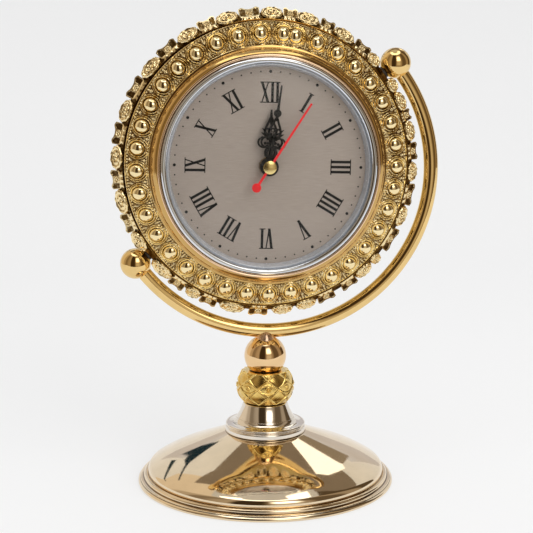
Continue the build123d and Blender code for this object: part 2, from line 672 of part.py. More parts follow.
def drum_case():
    """Round wall of the case, soldered to the mounting ring, with the seats of the pivot bushes."""
    wall = ring_plate(DRUM_RADIUS, DRUM_RADIUS - DRUM_WALL, FLANGE_FRONT + FLANGE_THICKNESS, DRUM_BACK)
    for side in (1, -1):
        wall -= along_pivot(BUSH_INNER_END - 1, BUSH_OUTER_END, BUSH_RADIUS, side)
    return HEAD * wall


def back_cover():
    front = back_cover_front()
    cover = ring_plate(DRUM_RADIUS - DRUM_WALL - SEAT_CLEARANCE, BACK_OPENING_RADIUS, front,
                       front + BACK_COVER_THICKNESS)
    for angle in post_angles():
        x, z = clockwise(angle, POST_CIRCLE_RADIUS)
        cover -= plate(Circle(COVER_SCREW_RADIUS), front - 1, front + BACK_COVER_THICKNESS + 1, x, z)
    return HEAD * cover


def screw(radius, tip, head_base, head_direction, x, z):
    """Plain screw along Y, with its head on the +Y side of the joint it clamps."""
    shank = plate(Circle(radius), tip, head_base, x, z)
    head = plate(Circle(SCREW_HEAD_RADIUS), head_base, head_base + head_direction * SCREW_HEAD_HEIGHT, x, z)
    return shank + head


def back_cover_screws():
    outside = back_cover_front() + BACK_COVER_THICKNESS
    screws = [screw(COVER_SCREW_RADIUS, back_cover_front() - COVER_SCREW_LENGTH, outside, 1,
                    *clockwise(angle, POST_CIRCLE_RADIUS)) for angle in post_angles()]
    return HEAD * Compound(children=screws)


def ring_screws():
    head_base = FLANGE_FRONT + FLANGE_THICKNESS
    screws = [screw(RING_SCREW_RADIUS, GALLERY_FRONT - RING_SCREW_DEPTH, head_base, 1,
                    *clockwise(angle, RING_SCREW_CIRCLE_RADIUS)) for angle in ring_screw_angles()]
    return HEAD * Compound(children=screws)


def cut_dome():
    """Bead of the front ring: an eight-sided dome in two tiers, standing on the XY plane."""
    tiers = ((DOME_RADIUS, DOME_TIER_RADIUS, 0.0, DOME_TIER_HEIGHT),
             (DOME_TIER_RADIUS, DOME_TIP_RADIUS, DOME_TIER_HEIGHT, DOME_HEIGHT))
    dome = Part()
    for radius, end, bottom, top in tiers:
        lean = degrees(atan2(radius - end, top - bottom)) * DOME_TAPER_SHARE
        dome += Pos(0, 0, bottom) * extrude(RegularPolygon(radius, DOME_SIDES), top - bottom, taper=lean)
    return dome


def front_ring():
    """Cast ring with a row of domes between raised borders; two stand closer where the strip meets."""
    rear = GALLERY_FRONT
    outer = (RING_OUTER_RADIUS, RING_OUTER_FRONT)
    inner = (RING_INNER_RADIUS, RING_INNER_FRONT)
    length = hypot(outer[0] - inner[0], outer[1] - inner[1])
    share = RING_BORDER_WIDTH / length
    drop = RING_BORDER_DEPTH
    outer_border = (outer[0] + (inner[0] - outer[0]) * share, outer[1] + (inner[1] - outer[1]) * share)
    inner_border = (inner[0] + (outer[0] - inner[0]) * share, inner[1] + (outer[1] - inner[1]) * share)
    outer_foot = (outer_border[0], outer_border[1] + drop)
    inner_foot = (inner_border[0], inner_border[1] + drop)
    ring = spun(line_y(
        (RING_INNER_RADIUS, rear), (RING_OUTER_RADIUS, rear), outer, outer_border, outer_foot,
        bulged(outer_foot, inner_foot, RING_CROWN), inner_foot, inner_border, inner,
        (RING_INNER_RADIUS, rear)), Axis.Y)
    slope = degrees(atan2(outer[1] - inner[1], outer[0] - inner[0]))
    seat_share = (RING_OUTER_RADIUS - DOME_CIRCLE_RADIUS) / (RING_OUTER_RADIUS - RING_INNER_RADIUS)
    seat_depth = outer[1] + (inner[1] - outer[1]) * seat_share + DOME_SINK
    upright = Pos(DOME_CIRCLE_RADIUS, seat_depth, 0) * Rot(0, 0, slope) * Rot(90, 0, 0) * cut_dome()
    first = DOME_FIRST_ANGLE - 90.0
    domes = [Rot(0, first + DOME_PITCH_ANGLE * number, 0) * upright for number in range(DOME_COUNT)]
    ring = ring + domes
    for angle in ring_screw_angles():
        x, z = clockwise(angle, RING_SCREW_CIRCLE_RADIUS)
        ring -= plate(Circle(RING_SCREW_RADIUS), rear - RING_SCREW_DEPTH, rear + 1, x, z)
    return HEAD * ring


def gallery_band():
    """Pierced border: oval medallions and bows on a flare, open where the pivots pass."""
    back = GALLERY_FRONT + GALLERY_FLANGE_THICKNESS
    flange = ring_plate(RING_OUTER_RADIUS + GALLERY_FLANGE_MARGIN, GALLERY_INNER_RADIUS, GALLERY_FRONT, back)
    pitch = 360.0 / GALLERY_REPEATS
    flare_height = hypot(GALLERY_FLARE, GALLERY_RADIUS - RING_OUTER_RADIUS)
    middle_radius = (RING_OUTER_RADIUS + GALLERY_RADIUS) / 2
    middle_depth = (2 * GALLERY_FRONT + GALLERY_FLARE) / 2 + GALLERY_THICKNESS / 2
    slope = degrees(atan2(GALLERY_FLARE, GALLERY_RADIUS - RING_OUTER_RADIUS))
    lean = Pos(middle_radius, middle_depth, 0) * Rot(0, 0, slope) * Rot(90, 0, 0)
    corners = [(MEDALLION_HEIGHT / 2 * cos(turn), MEDALLION_WIDTH / 2 * sin(turn))
               for turn in (2 * pi * number / MEDALLION_SIDES for number in range(MEDALLION_SIDES + 1))]
    medallion = lean * extrude(make_face(Polyline(*corners)), GALLERY_THICKNESS)
    bar_length = 2 * pi * GALLERY_RADIUS / GALLERY_REPEATS - MEDALLION_WIDTH + BOW_BAR_OVERLAP
    bar = Pos(flare_height / 2 - BOW_BAR_WIDTH, 0, 0) * Rectangle(BOW_BAR_WIDTH, bar_length)
    stem = Rectangle(flare_height - BOW_BAR_WIDTH, BOW_BAR_WIDTH)
    rosette = RegularPolygon(BOW_ROSETTE_RADIUS, DOME_SIDES)
    bow = lean * extrude(bar + stem + rosette, GALLERY_THICKNESS)
    pieces = []
    for number in range(GALLERY_REPEATS):
        turn = Rot(0, -PIVOT_TILT - pitch * number, 0)
        pieces.append(turn * Rot(0, -pitch / 2, 0) * medallion)
        if number % (GALLERY_REPEATS // 2):
            pieces.append(turn * bow)
    band = flange + pieces
    inside = spun(line_y((0, -BOX / 8), (RING_OUTER_RADIUS, -BOX / 8), (RING_OUTER_RADIUS, GALLERY_FRONT),
                         (0, GALLERY_FRONT), (0, -BOX / 8)), Axis.Y)
    band -= inside
    flange_seat = ring_plate(FLANGE_RADIUS + SEAT_CLEARANCE, GALLERY_INNER_RADIUS - 1, back, BOX / 8)
    band -= flange_seat
    for angle in ring_screw_angles():
        x, z = clockwise(angle, RING_SCREW_CIRCLE_RADIUS)
        band -= plate(Circle(RING_SCREW_RADIUS), GALLERY_FRONT - 1, back + 1, x, z)
    return HEAD * band


def bezel_ring():
    """Smooth stepped gold bezel; the dial rests on its inner shelf."""
    outer = RING_INNER_RADIUS - SEAT_CLEARANCE
    edge = (outer, BEZEL_EDGE_FRONT)
    step_radius = outer - BEZEL_STEP_INSET
    step_foot = (step_radius + BEZEL_STEP_SLANT, BEZEL_EDGE_FRONT - BEZEL_EDGE_SLOPE)
    step_top = (step_radius, BEZEL_EDGE_FRONT - BEZEL_EDGE_SLOPE - BEZEL_STEP)
    lip = (BEZEL_BORE_RADIUS + BEZEL_LIP_WIDTH, BEZEL_FRONT)
    return HEAD * spun([
        line_y((DIAL_SHELF_RADIUS, FLANGE_FRONT), (outer, FLANGE_FRONT), edge, step_foot,
               step_top),
        arc_y(step_top, bulged(step_top, lip, BEZEL_CROWN), lip),
        line_y(lip, (BEZEL_BORE_RADIUS, BEZEL_FRONT + BEZEL_LIP_WIDTH), (BEZEL_BORE_RADIUS, DIAL_BACK),
               (DIAL_SHELF_RADIUS, DIAL_BACK), (DIAL_SHELF_RADIUS, FLANGE_FRONT)),
    ], Axis.Y)


def glass_arc(offset):
    """Radius of the domed glass's surface and the depth of its sphere's centre."""
    rim = BEZEL_BORE_RADIUS - SEAT_CLEARANCE
    radius = (rim**2 + GLASS_CROWN**2) / (2 * GLASS_CROWN)
    rim_depth = DIAL_FRONT - SPACER_DEPTH
    return radius + offset, rim_depth - GLASS_CROWN + radius


def glass():
    rim = BEZEL_BORE_RADIUS - SEAT_CLEARANCE
    inner_radius, centre = glass_arc(0)
    outer_radius, centre = glass_arc(GLASS_THICKNESS)
    rim_back = centre - sqrt(inner_radius**2 - rim**2)
    rim_front = centre - sqrt(outer_radius**2 - rim**2)
    half = rim / 2
    return HEAD * spun([
        arc_y((0, centre - outer_radius), (half, centre - sqrt(outer_radius**2 - half**2)), (rim, rim_front)),
        line_y((rim, rim_front), (rim, rim_back)),
        arc_y((rim, rim_back), (half, centre - sqrt(inner_radius**2 - half**2)), (0, centre - inner_radius)),
        line_y((0, centre - inner_radius), (0, centre - outer_radius)),
    ], Axis.Y)


def inner_bezel():
    """Silver ring pressed into the gold bezel over the edge of the glass."""
    outer = BEZEL_BORE_RADIUS - RUNNING_CLEARANCE
    outer_radius, centre = glass_arc(GLASS_THICKNESS)
    seat = outer - SILVER_SEAT_WIDTH
    seat_depth = centre - sqrt(outer_radius**2 - seat**2) - SEAT_CLEARANCE
    lip_depth = centre - sqrt(outer_radius**2 - SILVER_BORE_RADIUS**2) - SEAT_CLEARANCE
    rim_depth = centre - sqrt(outer_radius**2 - outer**2) - SEAT_CLEARANCE
    flat = SILVER_BORE_RADIUS + SILVER_SLOPE_WIDTH
    return HEAD * spun([
        line_y((outer, rim_depth), (seat, seat_depth), (SILVER_BORE_RADIUS, lip_depth),
               (SILVER_BORE_RADIUS, lip_depth - SILVER_LIP_THICKNESS / 2),
               (flat, SILVER_FRONT), (flat + SILVER_FLAT_WIDTH, SILVER_FRONT),
               (outer - SILVER_CHAMFER, BEZEL_FRONT), (outer, BEZEL_FRONT + SILVER_CHAMFER),
               (outer, rim_depth)),
    ], Axis.Y)


def dial_spacer():
    outer = BEZEL_BORE_RADIUS - SEAT_CLEARANCE
    inner_radius, centre = glass_arc(0)
    front = DIAL_FRONT - SPACER_DEPTH
    inner_top = SPACER_BORE_RADIUS + SPACER_SLANT
    inner_front = centre - sqrt(inner_radius**2 - inner_top**2)
    return HEAD * spun(line_y(
        (SPACER_BORE_RADIUS, DIAL_FRONT), (outer, DIAL_FRONT), (outer, front), (inner_top, inner_front),
        (SPACER_BORE_RADIUS, DIAL_FRONT)), Axis.Y)


def dial_plate():
    return HEAD * ring_plate(BEZEL_BORE_RADIUS - SEAT_CLEARANCE, BUSH_THREAD_RADIUS + HOLE_CLEARANCE,
                             DIAL_FRONT, DIAL_BACK)


# Hands

def scroll_hand(length, loops, width):
    """Outline of a pierced scroll hand that points up: hub, ringed stem and a slim blade."""
    sketch = Circle(HAND_HUB_RADIUS)
    stem_end = BLADE_START + HAND_STEM_OVERLAP
    sketch += Pos(0, stem_end / 2) * Rectangle(HAND_STEM_WIDTH, stem_end)
    for x, z, radius in loops:
        loop = RegularPolygon(radius, LOOP_SIDES) - RegularPolygon(radius * LOOP_BORE_SHARE, LOOP_SIDES)
        sketch += [Pos(side * x, z) * loop for side in (1, -1)]
    neck = HAND_NECK_WIDTH / 2
    widest = BLADE_START + (length - BLADE_START) * HAND_WIDEST_SHARE
    blade = Polyline((0, length), (width / 2, widest), (neck, BLADE_START), (-neck, BLADE_START),
                     (-width / 2, widest), (0, length))
    return sketch + make_face(blade)


def hour_hand():
    outline = scroll_hand(HOUR_HAND_LENGTH, HOUR_LOOPS, HOUR_BLADE_WIDTH) - Circle(HOUR_PIPE_RADIUS)
    sketch = Rot(0, 0, -HOUR_HAND_ANGLE) * outline
    return HEAD * plate(sketch, HOUR_HAND_BACK - HAND_THICKNESS, HOUR_HAND_BACK)


def minute_hand():
    outline = scroll_hand(MINUTE_HAND_LENGTH, MINUTE_LOOPS, MINUTE_BLADE_WIDTH) - Circle(CANNON_RADIUS)
    sketch = Rot(0, 0, -MINUTE_HAND_ANGLE) * outline
    return HEAD * plate(sketch, MINUTE_HAND_BACK - HAND_THICKNESS, MINUTE_HAND_BACK)


def second_hand():
    half = SECOND_HAND_WIDTH / 2
    tip = SECOND_HAND_TIP_WIDTH / 2
    blade = make_face(Polyline(
        (tip, SECOND_HAND_LENGTH), (half, 0), (half, -COUNTERWEIGHT_DISTANCE),
        (-half, -COUNTERWEIGHT_DISTANCE), (-half, 0), (-tip, SECOND_HAND_LENGTH), (tip, SECOND_HAND_LENGTH)))
    counterweight = Pos(0, -COUNTERWEIGHT_DISTANCE) * Circle(COUNTERWEIGHT_RADIUS)
    sketch = blade + Circle(SECOND_HAND_HUB_RADIUS) + counterweight
    sketch = Rot(0, 0, -SECOND_HAND_ANGLE) * (sketch - Circle(ARBOR_RADIUS))
    return HEAD * plate(sketch, SECOND_HAND_BACK - SECOND_HAND_THICKNESS, SECOND_HAND_BACK)


def second_hand_cap():
    """Domed brass cap, bored for the end of the seconds arbor."""
    back = SECOND_HAND_BACK - SECOND_HAND_THICKNESS
    steps = [(CAP_RADIUS * across, back - CAP_HEIGHT * up) for across, up in CAP_STEPS]
    cap = spun(line_y((0, back), (CAP_RADIUS, back), *steps, (0, back - CAP_HEIGHT), (0, back)), Axis.Y)
    return HEAD * (cap - plate(Circle(ARBOR_RADIUS), SECONDS_ARBOR_FRONT, back + 1))


# Gear train

def gear_module(first_teeth, second_teeth, distance):
    return 2 * distance / (first_teeth + second_teeth)


def gear(teeth, module, phase, front, x, z, bore=0.0):
    """Spur gear of straight-sided teeth; phase is the angle of one tooth's middle."""
    tip = module * (teeth / 2 + ADDENDUM)
    root = module * (teeth / 2 - DEDENDUM)
    pitch = 360.0 / teeth
    corners = []
    for number in range(teeth):
        middle = phase + pitch * number
        for share, radius in ((-TOOTH_ROOT_SHARE, root), (-TOOTH_TIP_SHARE, tip),
                              (TOOTH_TIP_SHARE, tip), (TOOTH_ROOT_SHARE, root)):
            corners.append(around(middle + pitch * share / 2, radius))
    sketch = make_face(Polyline(*corners, corners[0]))
    if bore:
        sketch -= Circle(bore)
    return plate(sketch, front, front + GEAR_THICKNESS, x, z)


def meshing_phase(phase, teeth, mate_teeth, direction):
    """Phase of the mate whose centre lies in the given direction, so that its gaps take the teeth."""
    pitch = 360.0 / teeth
    mate_pitch = 360.0 / mate_teeth
    offset = (phase - direction) / pitch
    offset -= floor(offset)
    return direction + 180.0 + mate_pitch / 2 - offset * mate_pitch


def shaft(radius, front, back, x, z):
    return plate(Circle(radius), front, back, x, z)


def tube(radius, bore, front, back, x=0.0, z=0.0):
    return ring_plate(radius, bore, front, back, x, z)


def third_place():
    return around(THIRD_DIRECTION, THIRD_DISTANCE)


def intermediate_place():
    return around(INTERMEDIATE_DIRECTION, INTERMEDIATE_DISTANCE)


def rotor_place():
    x, z = intermediate_place()
    dx, dz = around(ROTOR_DIRECTION, ROTOR_DISTANCE)
    return x + dx, z + dz


def setting_place():
    return around(SETTING_DIRECTION, SETTING_DISTANCE)


def hour_wheel():
    module = gear_module(HOUR_TEETH, MINUTE_PINION_TEETH, SETTING_DISTANCE)
    bore = CANNON_RADIUS + RUNNING_CLEARANCE
    wheel = gear(HOUR_TEETH, module, SETTING_DIRECTION, HOUR_PLANE, 0, 0, bore)
    return HEAD * (wheel + tube(HOUR_PIPE_RADIUS, bore, HOUR_PIPE_FRONT, HOUR_PLANE + GEAR_THICKNESS / 2))


def cannon_pinion():
    module = gear_module(CANNON_TEETH, MINUTE_WHEEL_TEETH, SETTING_DISTANCE)
    bore = ARBOR_RADIUS + RUNNING_CLEARANCE
    pinion = gear(CANNON_TEETH, module, SETTING_DIRECTION, CANNON_PLANE, 0, 0, bore)
    back = CENTRE_PLANE + GEAR_THICKNESS + END_SHAKE
    return HEAD * (pinion + tube(CANNON_RADIUS, bore, CANNON_FRONT, back))


def minute_wheel():
    """Wheel and pinion of the motion work, on the arbor that the set knob turns."""
    x, z = setting_place()
    wheel_module = gear_module(CANNON_TEETH, MINUTE_WHEEL_TEETH, SETTING_DISTANCE)
    wheel_phase = meshing_phase(SETTING_DIRECTION, CANNON_TEETH, MINUTE_WHEEL_TEETH, SETTING_DIRECTION)
    wheel = gear(MINUTE_WHEEL_TEETH, wheel_module, wheel_phase, CANNON_PLANE, x, z)
    pinion_module = gear_module(HOUR_TEETH, MINUTE_PINION_TEETH, SETTING_DISTANCE)
    pinion_phase = meshing_phase(SETTING_DIRECTION, HOUR_TEETH, MINUTE_PINION_TEETH, SETTING_DIRECTION)
    pinion = gear(MINUTE_PINION_TEETH, pinion_module, pinion_phase, HOUR_PLANE, x, z)
    knob_end = CASE_BACK + KNOB_GAP + KNOB_HEIGHT / 2
    arbor = shaft(SETTING_ARBOR_RADIUS, CASE_FLOOR - PIVOT_DEPTH, knob_end, x, z)
    return HEAD * (wheel + pinion + arbor)


def set_knob():
    x, z = setting_place()
    front = CASE_BACK + KNOB_GAP
    knob = Circle(KNOB_RADIUS)
    notch = Pos(KNOB_RADIUS, 0) * Rectangle(2 * KNOB_GRIP_DEPTH, KNOB_GRIP_WIDTH)
    knob -= [Rot(0, 0, 360.0 / KNOB_GRIPS * number) * notch for number in range(KNOB_GRIPS)]
    body = plate(knob, front, front + KNOB_HEIGHT, x, z)
    socket = shaft(SETTING_ARBOR_RADIUS, front - 1, front + KNOB_HEIGHT / 2, x, z)
    return HEAD * (body - socket)


def centre_wheel():
    """Driven wheel that grips the cannon tube by friction, so that the hands can be set."""
    module = gear_module(CENTRE_TEETH, THIRD_PINION_TEETH, THIRD_DISTANCE)
    return HEAD * gear(CENTRE_TEETH, module, THIRD_DIRECTION, CENTRE_PLANE, 0, 0,
                       CANNON_RADIUS + RUNNING_CLEARANCE)


def third_wheel():
    x, z = third_place()
    pinion_module = gear_module(CENTRE_TEETH, THIRD_PINION_TEETH, THIRD_DISTANCE)
    pinion_phase = meshing_phase(THIRD_DIRECTION, CENTRE_TEETH, THIRD_PINION_TEETH, THIRD_DIRECTION)
    wheel_module = gear_module(SECONDS_PINION_TEETH, THIRD_TEETH, THIRD_DISTANCE)
    wheel_phase = meshing_phase(THIRD_DIRECTION, SECONDS_PINION_TEETH, THIRD_TEETH, THIRD_DIRECTION)
    pinion = gear(THIRD_PINION_TEETH, pinion_module, pinion_phase, CENTRE_PLANE, x, z)
    wheel = gear(THIRD_TEETH, wheel_module, wheel_phase, THIRD_PLANE, x, z)
    arbor = shaft(ARBOR_RADIUS, CASE_FLOOR - PIVOT_DEPTH, SECONDS_PLANE + 2 * PLANE_PITCH, x, z)
    return HEAD * (pinion + wheel + arbor)


def seconds_wheel():
    pinion_module = gear_module(SECONDS_PINION_TEETH, THIRD_TEETH, THIRD_DISTANCE)
    wheel_module = gear_module(SECONDS_TEETH, INTERMEDIATE_PINION_TEETH, INTERMEDIATE_DISTANCE)
    pinion = gear(SECONDS_PINION_TEETH, pinion_module, THIRD_DIRECTION, THIRD_PLANE, 0, 0)
    wheel = gear(SECONDS_TEETH, wheel_module, INTERMEDIATE_DIRECTION, SECONDS_PLANE, 0, 0)
    arbor = shaft(ARBOR_RADIUS, SECONDS_ARBOR_FRONT, MAGNET_FRONT + PLANE_PITCH, 0, 0)
    return HEAD * (pinion + wheel + arbor)


def intermediate_wheel():
    x, z = intermediate_place()
    pinion_module = gear_module(SECONDS_TEETH, INTERMEDIATE_PINION_TEETH, INTERMEDIATE_DISTANCE)
    pinion_phase = meshing_phase(INTERMEDIATE_DIRECTION, SECONDS_TEETH, INTERMEDIATE_PINION_TEETH,
                                 INTERMEDIATE_DIRECTION)
    wheel_module = gear_module(INTERMEDIATE_TEETH, ROTOR_PINION_TEETH, ROTOR_DISTANCE)
    pinion = gear(INTERMEDIATE_PINION_TEETH, pinion_module, pinion_phase, SECONDS_PLANE, x, z)
    wheel = gear(INTERMEDIATE_TEETH, wheel_module, ROTOR_DIRECTION, INTERMEDIATE_PLANE, x, z)
    arbor = shaft(ARBOR_RADIUS, SECONDS_PLANE, COVER_INSIDE - PIVOT_DEPTH, x, z)
    return HEAD * (pinion + wheel + arbor)


def rotor():
    x, z = rotor_place()
    module = gear_module(INTERMEDIATE_TEETH, ROTOR_PINION_TEETH, ROTOR_DISTANCE)
    phase = meshing_phase(ROTOR_DIRECTION, INTERMEDIATE_TEETH, ROTOR_PINION_TEETH, ROTOR_DIRECTION)
    pinion = gear(ROTOR_PINION_TEETH, module, phase, INTERMEDIATE_PLANE, x, z)
    magnet = shaft(MAGNET_RADIUS, MAGNET_FRONT, MAGNET_FRONT + MAGNET_LENGTH, x, z)
    arbor = shaft(ARBOR_RADIUS, INTERMEDIATE_PLANE - PLANE_PITCH, COVER_INSIDE + PIVOT_DEPTH, x, z)
    return HEAD * (pinion + magnet + arbor)


# Movement's fixed pieces

def case_outline(margin=0.0, bottom=None):
    """The case's rounded outline drawn in by a margin, and cut off square at a height if one is given."""
    height = CASE_TOP - CASE_BOTTOM
    middle = (CASE_TOP + CASE_BOTTOM) / 2
    outline = Pos(0, middle) * RectangleRounded(CASE_WIDTH - 2 * margin, height - 2 * margin,
                                                CASE_CORNER_RADIUS)
    if bottom is None:
        return outline
    return outline & Pos(0, bottom + height / 2) * Rectangle(CASE_WIDTH, height)


def movement_case():
    """Front half: dial side wall, threaded bush, gear bay and the open battery bay."""
    case = plate(case_outline(), CASE_FRONT, CASE_BACK)
    case -= plate(case_outline(CASE_WALL), CASE_FLOOR, CASE_BACK + 1)
    partition = Pos(0, PARTITION_TOP - CASE_WALL / 2) * Rectangle(CASE_WIDTH - CASE_WALL, CASE_WALL)
    case += plate(partition, CASE_FLOOR, CASE_BACK)
    window = Pos(0, PARTITION_TOP + CASE_TOP) * Rectangle(CASE_WIDTH + 2, 2 * CASE_TOP)
    case -= plate(window, CASE_SPLIT, CASE_BACK + 1)
    case += shaft(BUSH_THREAD_RADIUS, BUSH_THREAD_FRONT, CASE_FRONT, 0, 0)
    case -= shaft(HOUR_PIPE_RADIUS + RUNNING_CLEARANCE, BUSH_THREAD_FRONT - 1, CASE_FLOOR + 1, 0, 0)
    x, z = rotor_place()
    case += shaft(BOSS_RADIUS, CASE_FLOOR, INTERMEDIATE_PLANE - PLANE_PITCH / 2, x, z)
    case -= shaft(ARBOR_RADIUS + RUNNING_CLEARANCE, INTERMEDIATE_PLANE - PLANE_PITCH - SEAT_CLEARANCE,
                  CASE_BACK, x, z)
    for radius, (x, z) in ((ARBOR_RADIUS, third_place()), (SETTING_ARBOR_RADIUS, setting_place())):
        case -= shaft(radius + RUNNING_CLEARANCE, CASE_FLOOR - PIVOT_DEPTH - SEAT_CLEARANCE,
                      CASE_FLOOR + 1, x, z)
    return HEAD * case


def movement_cover():
    """Rear half of the gear bay, with the rear bearings of the arbors."""
    cover = plate(case_outline(0.0, PARTITION_TOP), CASE_SPLIT, CASE_BACK)
    room_height = CASE_TOP - PARTITION_TOP - 2 * CASE_WALL
    room = Pos(0, (CASE_TOP + PARTITION_TOP) / 2) * Rectangle(CASE_WIDTH - 2 * CASE_WALL, room_height)
    cover -= plate(room, CASE_SPLIT - 1, COVER_INSIDE)
    boss_front = MAGNET_FRONT + SEAT_CLEARANCE
    arbor_ends = ((0.0, 0.0), MAGNET_FRONT + PLANE_PITCH), \
        (third_place(), SECONDS_PLANE + 2 * PLANE_PITCH), \
        (intermediate_place(), COVER_INSIDE - PIVOT_DEPTH)
    for (x, z), end in arbor_ends:
        cover += shaft(BOSS_RADIUS, boss_front, COVER_INSIDE, x, z)
        cover -= shaft(ARBOR_RADIUS + RUNNING_CLEARANCE, boss_front - 1, end + SEAT_CLEARANCE, x, z)
    x, z = rotor_place()
    cover -= shaft(ARBOR_RADIUS + RUNNING_CLEARANCE, COVER_INSIDE - 1,
                   COVER_INSIDE + PIVOT_DEPTH + SEAT_CLEARANCE, x, z)
    x, z = setting_place()
    cover -= shaft(SETTING_ARBOR_RADIUS + RUNNING_CLEARANCE, COVER_INSIDE - 1, CASE_BACK + 1, x, z)
    return HEAD * cover


def bush_washer():
    return HEAD * ring_plate(CASE_WASHER_RADIUS, BUSH_THREAD_RADIUS + HOLE_CLEARANCE, DIAL_BACK, CASE_FRONT)


def bush_nut():
    hexagon = RegularPolygon(BUSH_NUT_FLATS / 2, 6, major_radius=False) - Circle(BUSH_THREAD_RADIUS)
    return HEAD * plate(hexagon, DIAL_FRONT - BUSH_NUT_HEIGHT, DIAL_FRONT)


def battery_centre_depth():
    return CASE_FLOOR + BATTERY_RADIUS + BATTERY_FLOOR_GAP


def battery():
    barrel = BATTERY_LENGTH - BATTERY_NIPPLE_LENGTH
    cell = Rot(0, 90, 0) * Cylinder(BATTERY_RADIUS, barrel)
    nipple = Pos(barrel / 2 + BATTERY_NIPPLE_LENGTH / 2, 0, 0) * (
        Rot(0, 90, 0) * Cylinder(BATTERY_NIPPLE_RADIUS, BATTERY_NIPPLE_LENGTH))
    shift = -BATTERY_NIPPLE_LENGTH / 2
    return HEAD * Pos(shift, battery_centre_depth(), BATTERY_CENTRE_Z) * (cell + nipple)


def battery_contact(side):
    """Sprung strip against the bay's end wall, with a raised pad that meets the battery."""
    wall = CASE_WIDTH / 2 - CASE_WALL
    strip = Box(CONTACT_THICKNESS, BATTERY_RADIUS * 2, CONTACT_WIDTH)
    pad = Pos(-(CONTACT_THICKNESS + CONTACT_PAD_HEIGHT) / 2, 0, 0) * Box(
        CONTACT_PAD_HEIGHT, CONTACT_PAD_WIDTH, CONTACT_PAD_WIDTH)
    contact = Pos(wall - CONTACT_THICKNESS / 2, 0, 0) * (strip + pad)
    turned = contact if side > 0 else Rot(0, 0, 180) * contact
    return HEAD * Pos(0, battery_centre_depth(), BATTERY_CENTRE_Z) * turned


def stator_depth():
    return MAGNET_FRONT + MAGNET_LENGTH / 2


def stator():
    """Soft iron yoke round the magnet, with two arms up to the coil's core."""
    x, z = rotor_place()
    foot_height = 2 * (STATOR_BORE_RADIUS + STATOR_YOKE_WIDTH)
    yoke = Rectangle(2 * STATOR_HALF_SPAN, foot_height)
    arm_height = COIL_HEIGHT_ABOVE_ROTOR + STATOR_ARM_WIDTH
    for side in (1, -1):
        yoke += Pos(side * (STATOR_HALF_SPAN - STATOR_ARM_WIDTH / 2), arm_height / 2) * Rectangle(
            STATOR_ARM_WIDTH, arm_height)
    yoke -= Circle(STATOR_BORE_RADIUS)
    front = stator_depth()
    return HEAD * plate(yoke, front, front + STATOR_THICKNESS, x, z)


def coil_half_length():
    return STATOR_HALF_SPAN - STATOR_ARM_WIDTH - BOBBIN_FLANGE_THICKNESS - SEAT_CLEARANCE


def coil_place():
    x, z = rotor_place()
    return Pos(x, stator_depth() + STATOR_THICKNESS / 2, z + COIL_HEIGHT_ABOVE_ROTOR)


def coil_bobbin():
    reach = coil_half_length() + BOBBIN_FLANGE_THICKNESS
    core = Rot(0, 90, 0) * Cylinder(BOBBIN_CORE_RADIUS, 2 * reach)
    for side in (1, -1):
        core += Pos(side * (reach - BOBBIN_FLANGE_THICKNESS / 2), 0, 0) * (
            Rot(0, 90, 0) * Cylinder(BOBBIN_FLANGE_RADIUS, BOBBIN_FLANGE_THICKNESS))
    return HEAD * coil_place() * core


def coil_winding():
    length = 2 * coil_half_length()
    winding = Rot(0, 90, 0) * (Cylinder(COIL_RADIUS, length) - Cylinder(BOBBIN_CORE_RADIUS, length + 2))
    return HEAD * coil_place() * winding


def board_front():
    return COVER_INSIDE - BOARD_THICKNESS


def circuit_board():
    sketch = Pos(BOARD_CENTRE_X, BOARD_CENTRE_Z) * Rectangle(BOARD_WIDTH, BOARD_HEIGHT)
    return HEAD * plate(sketch, board_front(), COVER_INSIDE)


def quartz_crystal():
    can = Rot(0, 90, 0) * Cylinder(CRYSTAL_RADIUS, CRYSTAL_LENGTH)
    return HEAD * Pos(BOARD_CENTRE_X, board_front() - CRYSTAL_RADIUS, BOARD_CENTRE_Z) * can


